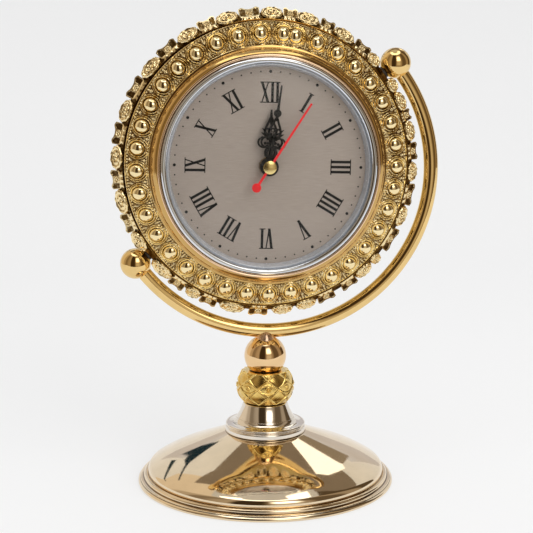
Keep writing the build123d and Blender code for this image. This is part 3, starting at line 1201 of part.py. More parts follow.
PIECES = {
    "base_shell": base_shell,
    "base_felt": base_felt,
    "base_weight": base_weight,
    "tie_rod": tie_rod,
    "tie_nut": tie_nut,
    "tie_washer": tie_washer,
    "collar_ring": collar_ring,
    "neck_cone": neck_cone,
    "lower_stem_washer": lambda: disc_z(LOWER_WASHER_RADIUS, NECK_TOP, KNOP_BOTTOM, TIE_BORE),
    "knop": knop,
    "upper_stem_washer": lambda: disc_z(UPPER_WASHER_RADIUS, KNOP_TOP, STEM_BALL_BOTTOM, TIE_BORE),
    "stem_ball": stem_ball,
    "arc_saddle": arc_saddle,
    "meridian_arc": meridian_arc,
    "upper_pivot_ball": lambda: pivot_ball(1),
    "lower_pivot_ball": lambda: pivot_ball(-1),
    "upper_pivot_pin": lambda: pivot_pin(1),
    "lower_pivot_pin": lambda: pivot_pin(-1),
    "upper_friction_sleeve": lambda: friction_sleeve(1),
    "lower_friction_sleeve": lambda: friction_sleeve(-1),
    "upper_pivot_bush": lambda: pivot_bush(1),
    "lower_pivot_bush": lambda: pivot_bush(-1),
    "mounting_ring": mounting_ring,
    "drum_case": drum_case,
    "back_cover": back_cover,
    "back_cover_screws": back_cover_screws,
    "ring_screws": ring_screws,
    "front_ring": front_ring,
    "gallery_band": gallery_band,
    "bezel_ring": bezel_ring,
    "inner_bezel": inner_bezel,
    "glass": glass,
    "dial_spacer": dial_spacer,
    "dial_plate": dial_plate,
    "movement_case": movement_case,
    "movement_cover": movement_cover,
    "bush_washer": bush_washer,
    "bush_nut": bush_nut,
    "battery": battery,
    "plus_contact": lambda: battery_contact(1),
    "minus_contact": lambda: battery_contact(-1),
    "stator": stator,
    "coil_bobbin": coil_bobbin,
    "coil_winding": coil_winding,
    "circuit_board": circuit_board,
    "quartz_crystal": quartz_crystal,
    "hour_hand": hour_hand,
    "hour_wheel": hour_wheel,
    "minute_hand": minute_hand,
    "cannon_pinion": cannon_pinion,
    "minute_wheel": minute_wheel,
    "set_knob": set_knob,
    "second_hand": second_hand,
    "second_hand_cap": second_hand_cap,
    "seconds_wheel": seconds_wheel,
    "third_wheel": third_wheel,
    "centre_wheel": centre_wheel,
    "intermediate_wheel": intermediate_wheel,
    "rotor": rotor,
}

os.makedirs("parts", exist_ok=True)
for name, make in PIECES.items():
    export_step(make(), f"parts/{name}.step")
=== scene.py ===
"""Look of the table clock: fine ornament, polished metals, dial, studio and camera.

Sizes are in millimetres of the row frame, those of the studio in metres. On the head, angles run
clockwise from twelve as seen from the front, and depths are along Y, negative to the front.
Profiles are lists of (radius, height) on the stand and of (radius, depth) on the head.
"""
import json
from math import atan2, cos, hypot, pi, radians, sin, sqrt

import bmesh
import bpy
import numpy as np
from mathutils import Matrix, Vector


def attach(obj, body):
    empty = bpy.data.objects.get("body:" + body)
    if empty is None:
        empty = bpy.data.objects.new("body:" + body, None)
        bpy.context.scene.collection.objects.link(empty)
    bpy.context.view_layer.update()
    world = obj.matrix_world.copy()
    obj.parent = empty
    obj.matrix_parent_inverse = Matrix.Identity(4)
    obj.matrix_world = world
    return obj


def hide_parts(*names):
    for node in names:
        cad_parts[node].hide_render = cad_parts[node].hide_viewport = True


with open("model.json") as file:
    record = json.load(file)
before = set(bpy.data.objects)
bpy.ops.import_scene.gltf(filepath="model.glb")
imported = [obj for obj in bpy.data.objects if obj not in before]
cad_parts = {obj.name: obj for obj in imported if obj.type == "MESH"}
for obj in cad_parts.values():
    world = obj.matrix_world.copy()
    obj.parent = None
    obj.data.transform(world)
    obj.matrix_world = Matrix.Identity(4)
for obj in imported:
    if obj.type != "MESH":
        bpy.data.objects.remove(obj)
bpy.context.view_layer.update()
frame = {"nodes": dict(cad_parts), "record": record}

MM = 0.001
MERGE_DISTANCE = 2e-6
TURN_STEPS = 320
PLAIN_SHARE = 0.7  # raised share of a surface without relief
CLEAR_CORNER = 14.0
CORNER_REACH = 0.45
CORNER_POINTS = 4

# Stand: foot, collar and neck on a tie rod, ball, lug and arc
ROD_HOLE = 2.6
FOOT_TOP = 23.0
FOOT_STEPS = 512
GROOVE_SHADE_REACH = 0.45
COLLAR_TOP = 29.6
STEM_BALL_CENTRE = 57.88
STEM_BALL_RADIUS = 9.5
STEM_BALL_BOTTOM = 51.8
LUG_HALF_WIDTH = 4.0
LUG_HALF_DEPTH = 5.2
LUG_BOTTOM = 64.4
LUG_HEIGHT = 6.0
LUG_FLARE = 1.4
HEAD_HEIGHT = 145.0
PIVOT_TILT = 37.1
PIVOT_BALL_DISTANCE = 72.5
PIVOT_BALL_RADIUS = 6.8
PIVOT_BALL_MOUTH = 2.75
ARC_CENTRE = (2.654, 141.49)
ARC_RADIUS = 72.05
ARC_TUBE_RADIUS = 3.2
ARC_START = 217.0
ARC_SWEEP = 180.2

# Knop: a round barrel with a lattice of ridges and eight eyes; pairs are (height, width)
KNOP_ROWS = 110
KNOP_COLUMNS = 480
KNOP_BOTTOM = 36.8
KNOP_TOP = 51.4
KNOP_MIDDLE = 44.3
KNOP_END_RADIUS = 8.9
KNOP_BELLY = 3.7
KNOP_TAPER_ABOVE = 1.9
KNOP_TAPER_BELOW = 2.4
KNOP_SIDES = 8
LATTICE_MIDDLE = 44.9
LATTICE_ROW = 4.05
LATTICE_RIDGE = (0.5, 0.3)
EYE_HALF_HEIGHT = 2.1
EYE_LID = (0.34, 0.26)
EYE_ROSETTE = (0.75, 0.3)
EYE_ROSETTE_RADIUS = 0.85
EYE_PETALS = 6
EYE_BALL = (0.7, 0.42)
HATCH_HEIGHT = 0.03
HATCH_PITCH = 0.75
HATCH_LEAN = 12.5
HATCH_CLEARANCE = 0.5
KNOP_RIM = (0.35, 0.4)
KNOP_RIM_PLACE = 0.35

# Front ring: a beaded cone between a plain outer rim and a smooth inner one
RING_OUTER = (62.9, -6.95)
RING_INNER = (51.9, -12.9)
RING_REAR = -6.0
RING_LAND = 0.6
RING_CROWN = 0.9
RING_FLOOR = -0.9
RING_ROWS = 72
RING_COLUMNS_PER_BEAD = 44
BEAD_COUNT = 37
BEAD_PITCH = 9.85
BEAD_FIRST = 12.2
BEAD_SLOPE = 6.9
BEAD_RADIUS = 2.85
BEAD_STRETCH = 1.18
BEAD_HEIGHT = 2.4
BEAD_RINGS = ((3.5, 0.3, 1.2), (4.35, 0.22, 0.9))
DART_WIDTH = 0.5
DART_DISTANCE = 3.4
DART_LENGTH = 1.0
DART_HEIGHT = 0.8
DART_NOTCH = 0.2
DART_NOTCH_PITCH = 0.9
PEARL_ROWS = ((2.1, 0.5, 0.75), (11.3, 0.45, 0.65))
PEARLS_PER_BEAD = 8
OUTER_RIM = 1.15
INNER_RIM = 11.9
RIM_PROUD = 0.9
RIM_WIDTH = 0.3
CREST_RELIEF = 1.3

# Gallery: flowers and bows on a flare behind the front ring, as (angle, width); their reliefs are
# (height, place, spread), and petal rows (place, spread, height, number of petals, notch)
FLARE_START = (62.75, -6.1)
FLARE_LENGTH = 7.0
FLARE_SLOPE = 41.0
FLARE_MIDDLE = FLARE_START[0] + FLARE_LENGTH / 2
GALLERY_THICKNESS = 1.0
MEDALLION_DOME = 0.45
MEDALLION_DOT = (0.7, 0.2)
OUTER_PETALS = 10
PETAL_ROWS = ((0.82, 0.14, 0.8, OUTER_PETALS, 0.15), (0.43, 0.12, 0.65, 7, 0.25))
BOW_PLATE = 0.3
BOW_PIT = 1.1
BOW_STEM = (0.5, 0.16, 0.14)
BOW_PETALS = 6
BOW_ROSETTE_PLACE = 0.52 * FLARE_LENGTH
BOW_ROSETTE = (0.9, 1.15, 0.36)
BOW_DOT = (0.9, 0.5)
MEDALLIONS = (
    (2.1, 8.8), (16.0, 9.7), (31.4, 9.4), (46.2, 6.5), (58.5, 6.0), (65.5, 8.0), (77.5, 8.4),
    (93.5, 7.9), (111.5, 8.6), (131.0, 4.8), (137.6, 8.0), (164.0, 8.6), (173.6, 8.6),
    (193.7, 10.4), (210.0, 6.6), (225.3, 10.4), (239.3, 9.4), (256.1, 10.0), (273.3, 9.4),
    (291.3, 9.2), (310.2, 10.0), (328.8, 9.2), (345.0, 9.1),
)
BOWS = (
    (9.2, 5.4), (24.1, 5.6), (40.0, 6.8), (71.3, 4.2), (85.5, 6.6), (102.5, 8.6), (121.5, 9.6),
    (145.2, 6.9), (155.6, 7.2), (183.2, 7.4), (203.2, 6.6), (217.2, 6.4), (247.6, 7.6),
    (264.8, 7.2), (282.3, 8.2), (300.7, 8.8), (319.5, 8.4), (337.0, 7.0), (353.6, 7.8),
)

# Glass, dial, numerals and hands; a letter is its width and its strokes as (top, foot, width)
GLASS_RIM = 46.9
GLASS_RIM_DEPTH = -15.45
GLASS_RISE = 7.6
GLASS_THICKNESS = 1.4
DIAL_FRONT = -11.85
PRINT_THICKNESS = 0.03
NUMERALS = ("XII", "I", "II", "III", "IIII", "V", "VI", "VII", "VIII", "IX", "X", "XI")
NUMERAL_INNER = 27.3
NUMERAL_OUTER = 36.3
THICK_STROKE = 1.15
THIN_STROKE = 0.55
LETTERS = {
    "I": (2.2, ((0, 0, THICK_STROKE),)),
    "V": (3.9, ((-1, 0, THICK_STROKE), (1, 0, THIN_STROKE))),
    "X": (4.2, ((-1, 1, THICK_STROKE), (1, -1, THIN_STROKE))),
}
STROKE_INSET = 0.62 * THICK_STROKE
SERIF_HEIGHT = 0.42
SERIF_OVERHANG = 0.1
SERIF_OVERLAP = 0.2
DOT_CIRCLE = 40.7
HOUR_DOT_RADIUS = 0.66
MINUTE_DOT_RADIUS = 0.34
DOT_SIDES = 20
DIAL_TURN = 1.45
HOUR_HAND_BACK = -14.4
MINUTE_HAND_BACK = -16.2
SECOND_HAND_BACK = -17.9
HAND_THICKNESS = 0.5
SECOND_HAND_THICKNESS = 0.3
HAND_STRETCH = 0.975
DISC_PROUD = 0.03
HOUR_ANGLE = 2.6
MINUTE_ANGLE = 8.6
SECOND_ANGLE = 33.5
COUNTERWEIGHT_PLACE = -10.7

# Softened edges of the plain solids
EDGE_WIDTH = 0.12
EDGE_SEGMENTS = 2
EDGE_ANGLE = 40.0

# Camera
CAMERA_AIM = 98.74
CAMERA_AZIMUTH = -6.49
CAMERA_ELEVATION = 10.11
CAMERA_DISTANCE = 600.0
CAMERA_LENS = 90.46
CAMERA_SHIFT = 0.0024

# Lamps: name, azimuth, elevation, distance, width, height, radiance
LAMPS = (
    ("top_light", 10, 72, 1.1, 0.9, 0.9, 0.8),
    ("right_light", 50, 34, 1.2, 0.6, 0.8, 1.3),
    ("left_light", -60, 36, 1.2, 0.6, 0.8, 0.5),
    ("front_light", 24, 24, 1.5, 0.8, 1.0, 2.8),
)
WORLD_LIGHT = (0.6, 0.6, 0.6, 1)

# Cards: linear colours, and corners as (azimuth, elevation)
CARD_DISTANCE = 1.0
CARDS = (
    ("sky_right", (1.7, 1.68, 1.62),
     ((137, 46), (142.5, 50), (151, 45), (155, 37.5), (150, 33.7), (145, 30.5), (141, 32.5),
      (138.7, 38.7))),
    ("frame_right", (0.3, 0.25, 0.19),
     ((145, 30), (150, 33), (156, 36), (154, 22.5), (150, 19))),
    ("frame_left", (0.012, 0.03, 0.045),
     ((-164.5, 27), (-157, 31), (-142, 37.3), (-142, 36.5), (-157, 29.5), (-162, 23), (-164, 17),
      (-165.5, 19))),
    ("frame_left_low", (0.03, 0.05, 0.06),
     ((-160, 20), (-152, 24.5), (-140, 29), (-140, 28.3), (-152, 22.8), (-160, 17))),
)
CEILING_LIGHT = (2.4, 2.35, 2.25)
BACK_WALL = (0.24, 0.195, 0.15)
PALE_BACK = ((0.62, 0.60, 0.62), (0.7, 0.72, 0.8))
PALE_BACK_STEP = 20

# Walls: brightness by azimuth, and the window with its sill as (colour, elevations)
WALL_LIGHT = (
    (-150, 0.78), (-106, 0.78), (-96, 0.5), (-86, 0.5), (-80, 0.26), (-68, 0.26), (-58, 0.4),
    (-43, 0.46), (-36, 0.05), (-9, 0.05), (-1, 0.32), (36, 0.36), (45, 0.13), (70, 0.14),
    (78, 0.38), (92, 0.38), (98, 0.1), (118, 0.1),
)
WINDOW_TURNS = (-3, 6, 23, 33)
WINDOW_BANDS = (
    ((0.62, 0.56, 0.47), (-16, -6, 8, 20)),
    ((3.0, 2.9, 2.7), (14, 24, 42, 54)),
)
IN_AND_OUT = (0, 1, 1, 0)

# Floor sweep
SWEEP_SIDES = (-1.0, 2.2)
SWEEP_FRONT = -0.34
SWEEP_BEND = (0.55, 0.0)
SWEEP_BACK = (1.15, 0.6)
SWEEP_TOP = 1.8
SWEEP_COLOUR = (0.9, 0.9, 0.902, 1)
SWEEP_GLOW_LOW = 0.975
SWEEP_GLOW_HIGH = 0.895
SWEEP_GLOW_RISE = 0.26
SWEEP_GLOW_SHARE = 0.6


# Shapes

def arc(start, end, bulge, count=14):
    """Points of an arc whose middle stands off to the left of its travel by bulge."""
    start, end = np.array(start, float), np.array(end, float)
    chord = end - start
    length = hypot(*chord)
    half = 2 * np.arctan(2 * bulge / length)
    radius = length / (2 * sin(half))
    along, left = chord / length, np.array((-chord[1], chord[0])) / length
    middle = (start + end) / 2
    return [tuple(middle + radius * (sin(turn) * along + (cos(turn) - cos(half)) * left))
            for turn in np.linspace(-half, half, count)]


def loop(centre, radius, start, sweep, count=28):
    """Points round a centre; the last of a full turn is left out."""
    turns = np.radians(np.linspace(start, start + sweep, count, endpoint=sweep < 360))
    return [(centre[0] + radius * cos(t), centre[1] + radius * sin(t)) for t in turns]


def rounded(profile, radius, closed=False):
    """The profile with its clear corners rounded off."""
    points = [np.array(point, float) for point in profile]
    last = len(points)
    result = []
    for number, point in enumerate(points):
        before, after = points[number - 1] - point, points[(number + 1) % last] - point
        back, ahead = hypot(*before), hypot(*after)
        straight = -np.dot(before, after) / (back * ahead) > cos(radians(CLEAR_CORNER))
        if straight or not closed and number in (0, last - 1):
            result.append(tuple(point))
            continue
        reach = min(radius, CORNER_REACH * back, CORNER_REACH * ahead)
        first, second = point + before / back * reach, point + after / ahead * reach
        for share in np.linspace(0, 1, CORNER_POINTS):
            result.append(tuple((1 - share) ** 2 * first + 2 * share * (1 - share) * point
                                + share**2 * second))
    return result


def round_stem(radius, height, turn):
    return np.stack([radius * np.sin(turn), -radius * np.cos(turn), height], axis=-1)


def round_head(radius, depth, turn):
    return np.stack([radius * np.sin(turn), depth, HEAD_HEIGHT + radius * np.cos(turn)], axis=-1)


def turned(profile, about="stem", steps=TURN_STEPS):
    """Grid of a profile turned about the stem, or about the head's axis."""
    profile = np.array(profile, float)
    turn = np.linspace(0, 2 * pi, steps, endpoint=False)
    radius, along = profile[:, :1], profile[:, 1:] + 0 * turn
    return round_stem(radius, along, turn) if about == "stem" else round_head(radius, along, turn)


def ridge(distance, width):
    return np.exp(-((distance / width) ** 2))


def dome(distance, radius):
    return np.sqrt(np.clip(1 - (distance / radius) ** 2, 0, 1))


def linked(name, data):
    """New object of a mesh, lamp or camera, put in the scene."""
    thing = bpy.data.objects.new(name, data)
    bpy.context.collection.objects.link(thing)
    return thing


class Form:
    """Points, faces and raised shares of one piece; the share tells recesses from crests."""

    def __init__(self):
        self.points, self.faces, self.raised = [], [], []

    def grid(self, grid, raised=PLAIN_SHARE, wrap=True):
        """Quads over a grid of points; wrap joins the last column to the first."""
        rows, columns = grid.shape[:2]
        index = len(self.points) + np.arange(rows * columns).reshape(rows, columns)
        if wrap:
            index = np.hstack([index, index[:, :1]])
        corners = [index[:-1, :-1], index[:-1, 1:], index[1:, 1:], index[1:, :-1]]
        self.points += grid.reshape(-1, 3).tolist()
        self.faces += np.stack(corners, axis=-1).reshape(-1, 4).tolist()
        self.raised += (np.zeros((rows, columns)) + raised).reshape(-1).tolist()
        return self

    def ring(self, profile, about="stem", steps=TURN_STEPS, raised=PLAIN_SHARE):
        """Closed profile turned into a ring."""
        return self.grid(turned(list(profile) + [profile[0]], about, steps), raised)

    def prism(self, outline, front, back):
        """Flat shape on the head between two depths; the outline is (across, up)."""
        start, count = len(self.points), len(outline)
        for depth in (front, back):
            self.points += [(x, depth, HEAD_HEIGHT + z) for x, z in outline]
        self.raised += [PLAIN_SHARE] * (2 * count)
        self.faces.append([start + number for number in range(count)])
        self.faces.append([start + count + number for number in reversed(range(count))])
        for number in range(count):
            near, after = start + number, start + (number + 1) % count
            self.faces.append([near, after, after + count, near + count])

    def piece(self, name, body, slot, replaces=(), crease=50.0, finish=""):
        """Makes the piece; its finish is the slot's own unless another is named."""
        mesh = bpy.data.meshes.new(name)
        mesh.from_pydata([[MM * value for value in point] for point in self.points], [],
                         self.faces)
        share = mesh.attributes.new("raised", "FLOAT", "POINT")
        share.data.foreach_set("value", self.raised)
        solid = bmesh.new()
        solid.from_mesh(mesh)
        bmesh.ops.remove_doubles(solid, verts=solid.verts, dist=MERGE_DISTANCE)
        bmesh.ops.recalc_face_normals(solid, faces=solid.faces)
        solid.to_mesh(mesh)
        solid.free()
        mesh.shade_smooth()
        mesh.set_sharp_from_angle(angle=radians(crease))
        mesh.materials.append(finishes[finish or slot])
        piece = linked(name, mesh)
        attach(piece, body)
        if replaces:
            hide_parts(*replaces)


# Materials

def from_srgb(red, green, blue):
    """Linear colour of one that is given as seen on screen, 0 to 255."""
    channels = [value / 255 for value in (red, green, blue)]
    linear = [v / 12.92 if v <= 0.04045 else ((v + 0.055) / 1.055) ** 2.4 for v in channels]
    return (*linear, 1.0)


def shade(colour, share):
    return (*[value * share for value in colour[:3]], 1.0)


def calculate(tree, operation, first, second):
    """Math node's output; each value is a number or another node's output."""
    node = tree.nodes.new("ShaderNodeMath")
    node.operation = operation
    for socket, value in zip(node.inputs, (first, second)):
        if isinstance(value, float):
            socket.default_value = value
        else:
            tree.links.new(value, socket)
    return node.outputs["Value"]


def remap(tree, value, low, high, new_low, new_high):
    """Value's run from low to high made one from new_low to new_high."""
    node = tree.nodes.new("ShaderNodeMapRange")
    tree.links.new(value, node.inputs["Value"])
    numbers = {"From Min": low, "From Max": high, "To Min": new_low, "To Max": new_high}
    for socket, number in numbers.items():
        node.inputs[socket].default_value = number
    return node.outputs["Result"]


def bare_material(name):
    """Material without the Principled shader, with its node tree and surface socket."""
    material = bpy.data.materials.new(name)
    material.use_nodes = True
    tree = material.node_tree
    tree.nodes.remove(tree.nodes["Principled BSDF"])
    return material, tree, tree.nodes["Material Output"].inputs["Surface"]


def mix_shaders(tree, share, first, second, surface):
    mix = tree.nodes.new("ShaderNodeMixShader")
    tree.links.new(share, mix.inputs["Fac"])
    tree.links.new(first, mix.inputs[1])
    tree.links.new(second, mix.inputs[2])
    tree.links.new(mix.outputs["Shader"], surface)


class Finish:
    """A material round one Principled shader, with short calls for the nodes that feed it."""

    def __init__(self, name, colour, metallic, roughness):
        self.material = bpy.data.materials.new(name)
        self.material.use_nodes = True
        self.tree = self.material.node_tree
        self.nodes, self.links = self.tree.nodes, self.tree.links
        self.shader = self.nodes["Principled BSDF"]
        numbers = {"Base Color": colour, "Metallic": metallic, "Roughness": roughness}
        for socket, number in numbers.items():
            self.shader.inputs[socket].default_value = number
        self.place = self.nodes.new("ShaderNodeTexCoord").outputs["Object"]

    def noise(self, size, detail=3.0, stretch=(1, 1, 1)):
        """Noise with features about a size in millimetres, drawn out along the axes by stretch."""
        mapping = self.nodes.new("ShaderNodeMapping")
        mapping.inputs["Scale"].default_value = [1 / (MM * size * along) for along in stretch]
        self.links.new(self.place, mapping.inputs["Vector"])
        noise = self.nodes.new("ShaderNodeTexNoise")
        noise.inputs["Scale"].default_value = 1.0
        noise.inputs["Detail"].default_value = detail
        self.links.new(mapping.outputs["Vector"], noise.inputs["Vector"])
        return noise.outputs["Fac"]

    def raised(self):
        """The share of Form: low in recesses, high on crests."""
        node = self.nodes.new("ShaderNodeAttribute")
        node.attribute_name = "raised"
        return node.outputs["Fac"]

    def blend(self, value, low, high, first, second):
        """Colour that runs from first to second, either of them a colour or a node's output."""
        node = self.nodes.new("ShaderNodeMix")
        node.data_type = "RGBA"
        self.links.new(remap(self.tree, value, low, high, 0, 1), node.inputs["Factor"])
        for socket, colour in ((node.inputs[6], first), (node.inputs[7], second)):
            if isinstance(colour, tuple):
                socket.default_value = colour
            else:
                self.links.new(colour, socket)
        return node.outputs[2]

    def paint(self, value, low, high, first, second):
        colour = self.blend(value, low, high, first, second)
        self.links.new(colour, self.shader.inputs["Base Color"])

    def gloss(self, value, low, high, first, second):
        roughness = remap(self.tree, value, low, high, first, second)
        self.links.new(roughness, self.shader.inputs["Roughness"])

    def bump(self, height, distance):
        node = self.nodes.new("ShaderNodeBump")
        node.inputs["Distance"].default_value = distance * MM
        self.links.new(height, node.inputs["Height"])
        if self.shader.inputs["Normal"].links:
            before = self.shader.inputs["Normal"].links[0].from_socket
            self.links.new(before, node.inputs["Normal"])
        self.links.new(node.outputs["Normal"], self.shader.inputs["Normal"])


def polished(name, colour, roughness=0.05, cloud=0.92, waves=0.0, groove_shade=None):
    """Plated metal: faint clouds in the colour, fine wiping marks, and slow waves of the sheet; a
    groove colour, where given, is painted shade in the grooves.
    """
    finish = Finish(name, colour, 1.0, roughness)
    clouds = (finish.noise(9.0), 0.35, 0.65, shade(colour, cloud), colour)
    if groove_shade:
        finish.paint(finish.raised(), 0.1, 0.6, groove_shade, finish.blend(*clouds))
    else:
        finish.paint(*clouds)
    finish.gloss(finish.noise(1.6, 6.0), 0.35, 0.7, roughness * 0.7, roughness * 1.6)
    finish.bump(finish.noise(0.35, 5.0), 0.0015)
    if waves:
        finish.bump(finish.noise(22.0, 1.0), waves)
    return finish.material


def shaded_relief(name, bright, recess, roughness, grain):
    """Cast and plated metal with painted shade: a darker colour and more roughness in the
    recesses, the full colour and gloss on the crests.
    """
    finish = Finish(name, bright, 1.0, roughness)
    # painted shade: the recess colour where the raised share is low, with noise to make its edge
    # uneven
    uneven = remap(finish.tree, finish.noise(1.6, 4.0), 0.3, 0.7, -0.08, 0.08)
    crest = calculate(finish.tree, "ADD", finish.raised(), uneven)
    finish.paint(crest, 0.0, 0.42, recess, bright)
    finish.gloss(crest, 0.1, 0.6, roughness * 1.5, roughness)
    finish.bump(finish.noise(0.4, 3.0), grain)
    return finish.material


def moulded(name, colour, roughness=0.45, grain=0.02, metallic=0.0, mottle=0.85):
    """Moulded, painted or rubber surface with a fine grain."""
    finish = Finish(name, colour, metallic, roughness)
    finish.paint(finish.noise(2.5), 0.35, 0.65, shade(colour, mottle), colour)
    finish.gloss(finish.noise(0.8), 0.3, 0.7, roughness * 0.85, min(1, roughness * 1.15))
    finish.bump(finish.noise(0.2), grain)
    return finish.material


def brushed(name, colour, roughness, along, metallic=1.0, scratch=0.006):
    """Metal brushed along one axis."""
    finish = Finish(name, colour, metallic, roughness)
    lines = finish.noise(0.22, 4.0, [22.0 if axis == along else 1.0 for axis in "xyz"])
    finish.paint(lines, 0.3, 0.7, shade(colour, 0.9), shade(colour, 1.06))
    finish.gloss(finish.noise(14.0, 3.0), 0.3, 0.7, roughness * 0.85, roughness * 1.2)
    finish.bump(lines, scratch)
    return finish.material


def felt(name, colour):
    finish = Finish(name, colour, 0.0, 0.95)
    finish.shader.inputs["Sheen Weight"].default_value = 0.4
    finish.paint(finish.noise(0.5, 6.0), 0, 1, shade(colour, 0.6), shade(colour, 1.3))
    finish.bump(finish.noise(0.25, 6.0), 0.12)
    return finish.material


def winding(name, colour):
    """Coil of fine wire: close rings along the coil, half as bright between the turns as painted
    shade.
    """
    finish = Finish(name, colour, 0.9, 0.3)
    wave = finish.nodes.new("ShaderNodeTexWave")
    wave.inputs["Scale"].default_value = 1 / (0.35 * MM)
    finish.links.new(finish.place, wave.inputs["Vector"])
    finish.paint(wave.outputs["Fac"], 0, 1, shade(colour, 0.5), colour)
    finish.bump(wave.outputs["Fac"], 0.05)
    return finish.material


def clear_glass(name):
    """Thin clear glass: what is behind shows through, and its outer face mirrors by the angle."""
    material, tree, surface = bare_material(name)
    through = tree.nodes.new("ShaderNodeBsdfTransparent")
    through.inputs["Color"].default_value = (0.985, 0.99, 0.99, 1.0)
    mirror = tree.nodes.new("ShaderNodeBsdfGlossy")
    mirror.inputs["Roughness"].default_value = 0.03
    edge = tree.nodes.new("ShaderNodeFresnel")
    edge.inputs["IOR"].default_value = 1.25
    side = tree.nodes.new("ShaderNodeNewGeometry")
    outer = calculate(tree, "SUBTRACT", 1.0, side.outputs["Backfacing"])
    share = calculate(tree, "MULTIPLY", edge.outputs["Fac"], outer)
    mix_shaders(tree, share, through.outputs["BSDF"], mirror.outputs["BSDF"], surface)
    return material


# Maker and values of every finish; colours are given as seen on screen, 0 to 255
RECIPES = {
    # champagne_gold's last colour is painted shade in the grooves of the foot
    "champagne_gold": (polished, (238, 217, 184), 0.05, 0.94, 0.02, (60, 38, 16)),
    "nickel_silver": (polished, (236, 226, 212), 0.06),
    "rose_gold": (polished, (244, 208, 158), 0.04),
    "deep_gold": (polished, (240, 206, 140), 0.06),
    # relief finishes give the crest colour, then the recess colour, which is painted shade
    "cast_gold": (shaded_relief, (242, 210, 128), (190, 148, 60), 0.1, 0.004),
    "antique_gold": (shaded_relief, (250, 230, 180), (122, 92, 46), 0.1, 0.004),
    "bezel_gold": (shaded_relief, (206, 168, 104), (26, 18, 10), 0.1, 0.002),
    "bright_silver": (polished, (226, 230, 236), 0.08),
    "clear_glass": (clear_glass,),
    "dial_silver": (brushed, (172, 159, 149), 0.4, "x", 0.35),
    "dark_ring": (moulded, (40, 38, 36), 0.4, 0.005),
    "steel": (brushed, (190, 190, 192), 0.3, "z"),
    "dark_steel": (moulded, (34, 30, 26), 0.35, 0.005, 0.8),
    "iron": (moulded, (120, 120, 122), 0.6, 0.06, 0.8),
    "nylon": (moulded, (50, 40, 30), 0.4),
    "brass_plain": (brushed, (206, 172, 104), 0.28, "y"),
    "case_back": (moulded, (196, 172, 112), 0.32, 0.008, 0.9, 0.93),
    "black_plastic": (moulded, (32, 32, 33), 0.5, 0.03),
    "gear_plastic": (moulded, (228, 226, 214), 0.35),
    "rubber_black": (moulded, (24, 24, 24), 0.8, 0.03),
    "battery_skin": (moulded, (98, 104, 112), 0.3, 0.004, 0.6, 0.95),
    "copper_winding": (winding, (206, 132, 84)),
    "board_green": (moulded, (30, 92, 50), 0.35),
    "felt_green": (felt, (34, 70, 48)),
    "hand_black": (moulded, (14, 13, 13), 0.36, 0.006),
    "hand_red": (moulded, (228, 28, 34), 0.35, 0.003),
    "cap_brass": (brushed, (246, 220, 150), 0.24, "x", 1.0, 0.004),
    "magnet_grey": (moulded, (86, 86, 90), 0.5, 0.03, 0.7),
    # gallery_gold's recess colour is painted shade under the flowers and bows
    "gallery_gold": (shaded_relief, (248, 226, 176), (84, 60, 24), 0.16, 0.005),
    "lug_rose": (polished, (226, 192, 164), 0.3),
    "print_ink": (moulded, (12, 11, 11), 0.7, 0.002),
    "seat_silver": (moulded, (208, 211, 217), 0.24, 0.002, 0.5, 0.93),
    # bezel_lip: a paler copy of the bezel gold, a painted highlight on the lip
    "bezel_lip": (polished, (244, 212, 178), 0.1),
}
finishes = {
    name: maker(name, *[from_srgb(*value) if isinstance(value, tuple) else value
                        for value in values])
    for name, (maker, *values) in RECIPES.items()
}


# Stand

def base():
    """Spun foot: rolled lip, flange, bead, then a domed top that rises to the collar."""
    lip = [(0.0, 0.1), (57.3, 0.1), (57.95, 0.3), (58.2, 0.9), (58.0, 1.6), (57.35, 2.1)]
    flange = [(57.1, 2.2), (57.3, 2.45), (56.8, 2.75), (55.6, 2.9)]
    bead = arc((55.5, 3.0), (53.6, 4.3), -1.0, 14)
    shoulder = arc((53.4, 4.4), (52.3, 8.2), -0.74, 16)
    top = arc((52.3, 8.2), (40.0, 14.5), -0.33, 24)[1:]
    top += arc((40.0, 14.5), (17.8, FOOT_TOP), -0.08, 24)[1:]
    profile = rounded(lip + flange + bead, 0.25) + shoulder + top + [(ROD_HOLE, FOOT_TOP)]
    # painted shade: darker towards the grooves of the foot and the joint with the collar
    grooves = ((53.45, 4.4), (55.65, 2.95), (57.2, 2.15), (17.8, FOOT_TOP))
    shares = [min(1.0, min(hypot(radius - r, height - z) for r, z in grooves) / GROOVE_SHADE_REACH)
              for radius, height in profile]
    form = Form().grid(turned(profile, steps=FOOT_STEPS), np.array(shares)[:, None])
    inside = [(ROD_HOLE, 22.2), (17.0, 22.2), (49.5, 8.4), (52.2, 3.6), (52.2, 1.9), (56.9, 1.9),
              (56.9, 0.3)]
    form.grid(turned(inside, steps=128))
    form.piece("foot", "stand", "champagne_gold", ["base_shell"])


def collar_and_neck():
    collar = [(ROD_HOLE, FOOT_TOP), (17.9, FOOT_TOP), (18.2, 23.4), (18.2, 25.1), (17.8, 25.5),
              (17.4, 25.6), (17.4, 25.9), (17.9, 26.1), (18.1, 26.6), (17.8, 27.1)]
    collar += arc((17.2, 27.3), (13.2, COLLAR_TOP), 0.75, 12) + [(ROD_HOLE, COLLAR_TOP)]
    Form().ring(rounded(collar, 0.25)).piece("collar", "stand", "nickel_silver", ["collar_ring"])
    neck = [(ROD_HOLE, COLLAR_TOP)] + arc((13.2, COLLAR_TOP), (10.1, 36.2), 0.35, 20)
    neck += [(9.8, 36.4), (ROD_HOLE, 36.4)]
    Form().ring(rounded(neck, 0.2)).piece("neck", "stand", "nickel_silver", ["neck_cone"])


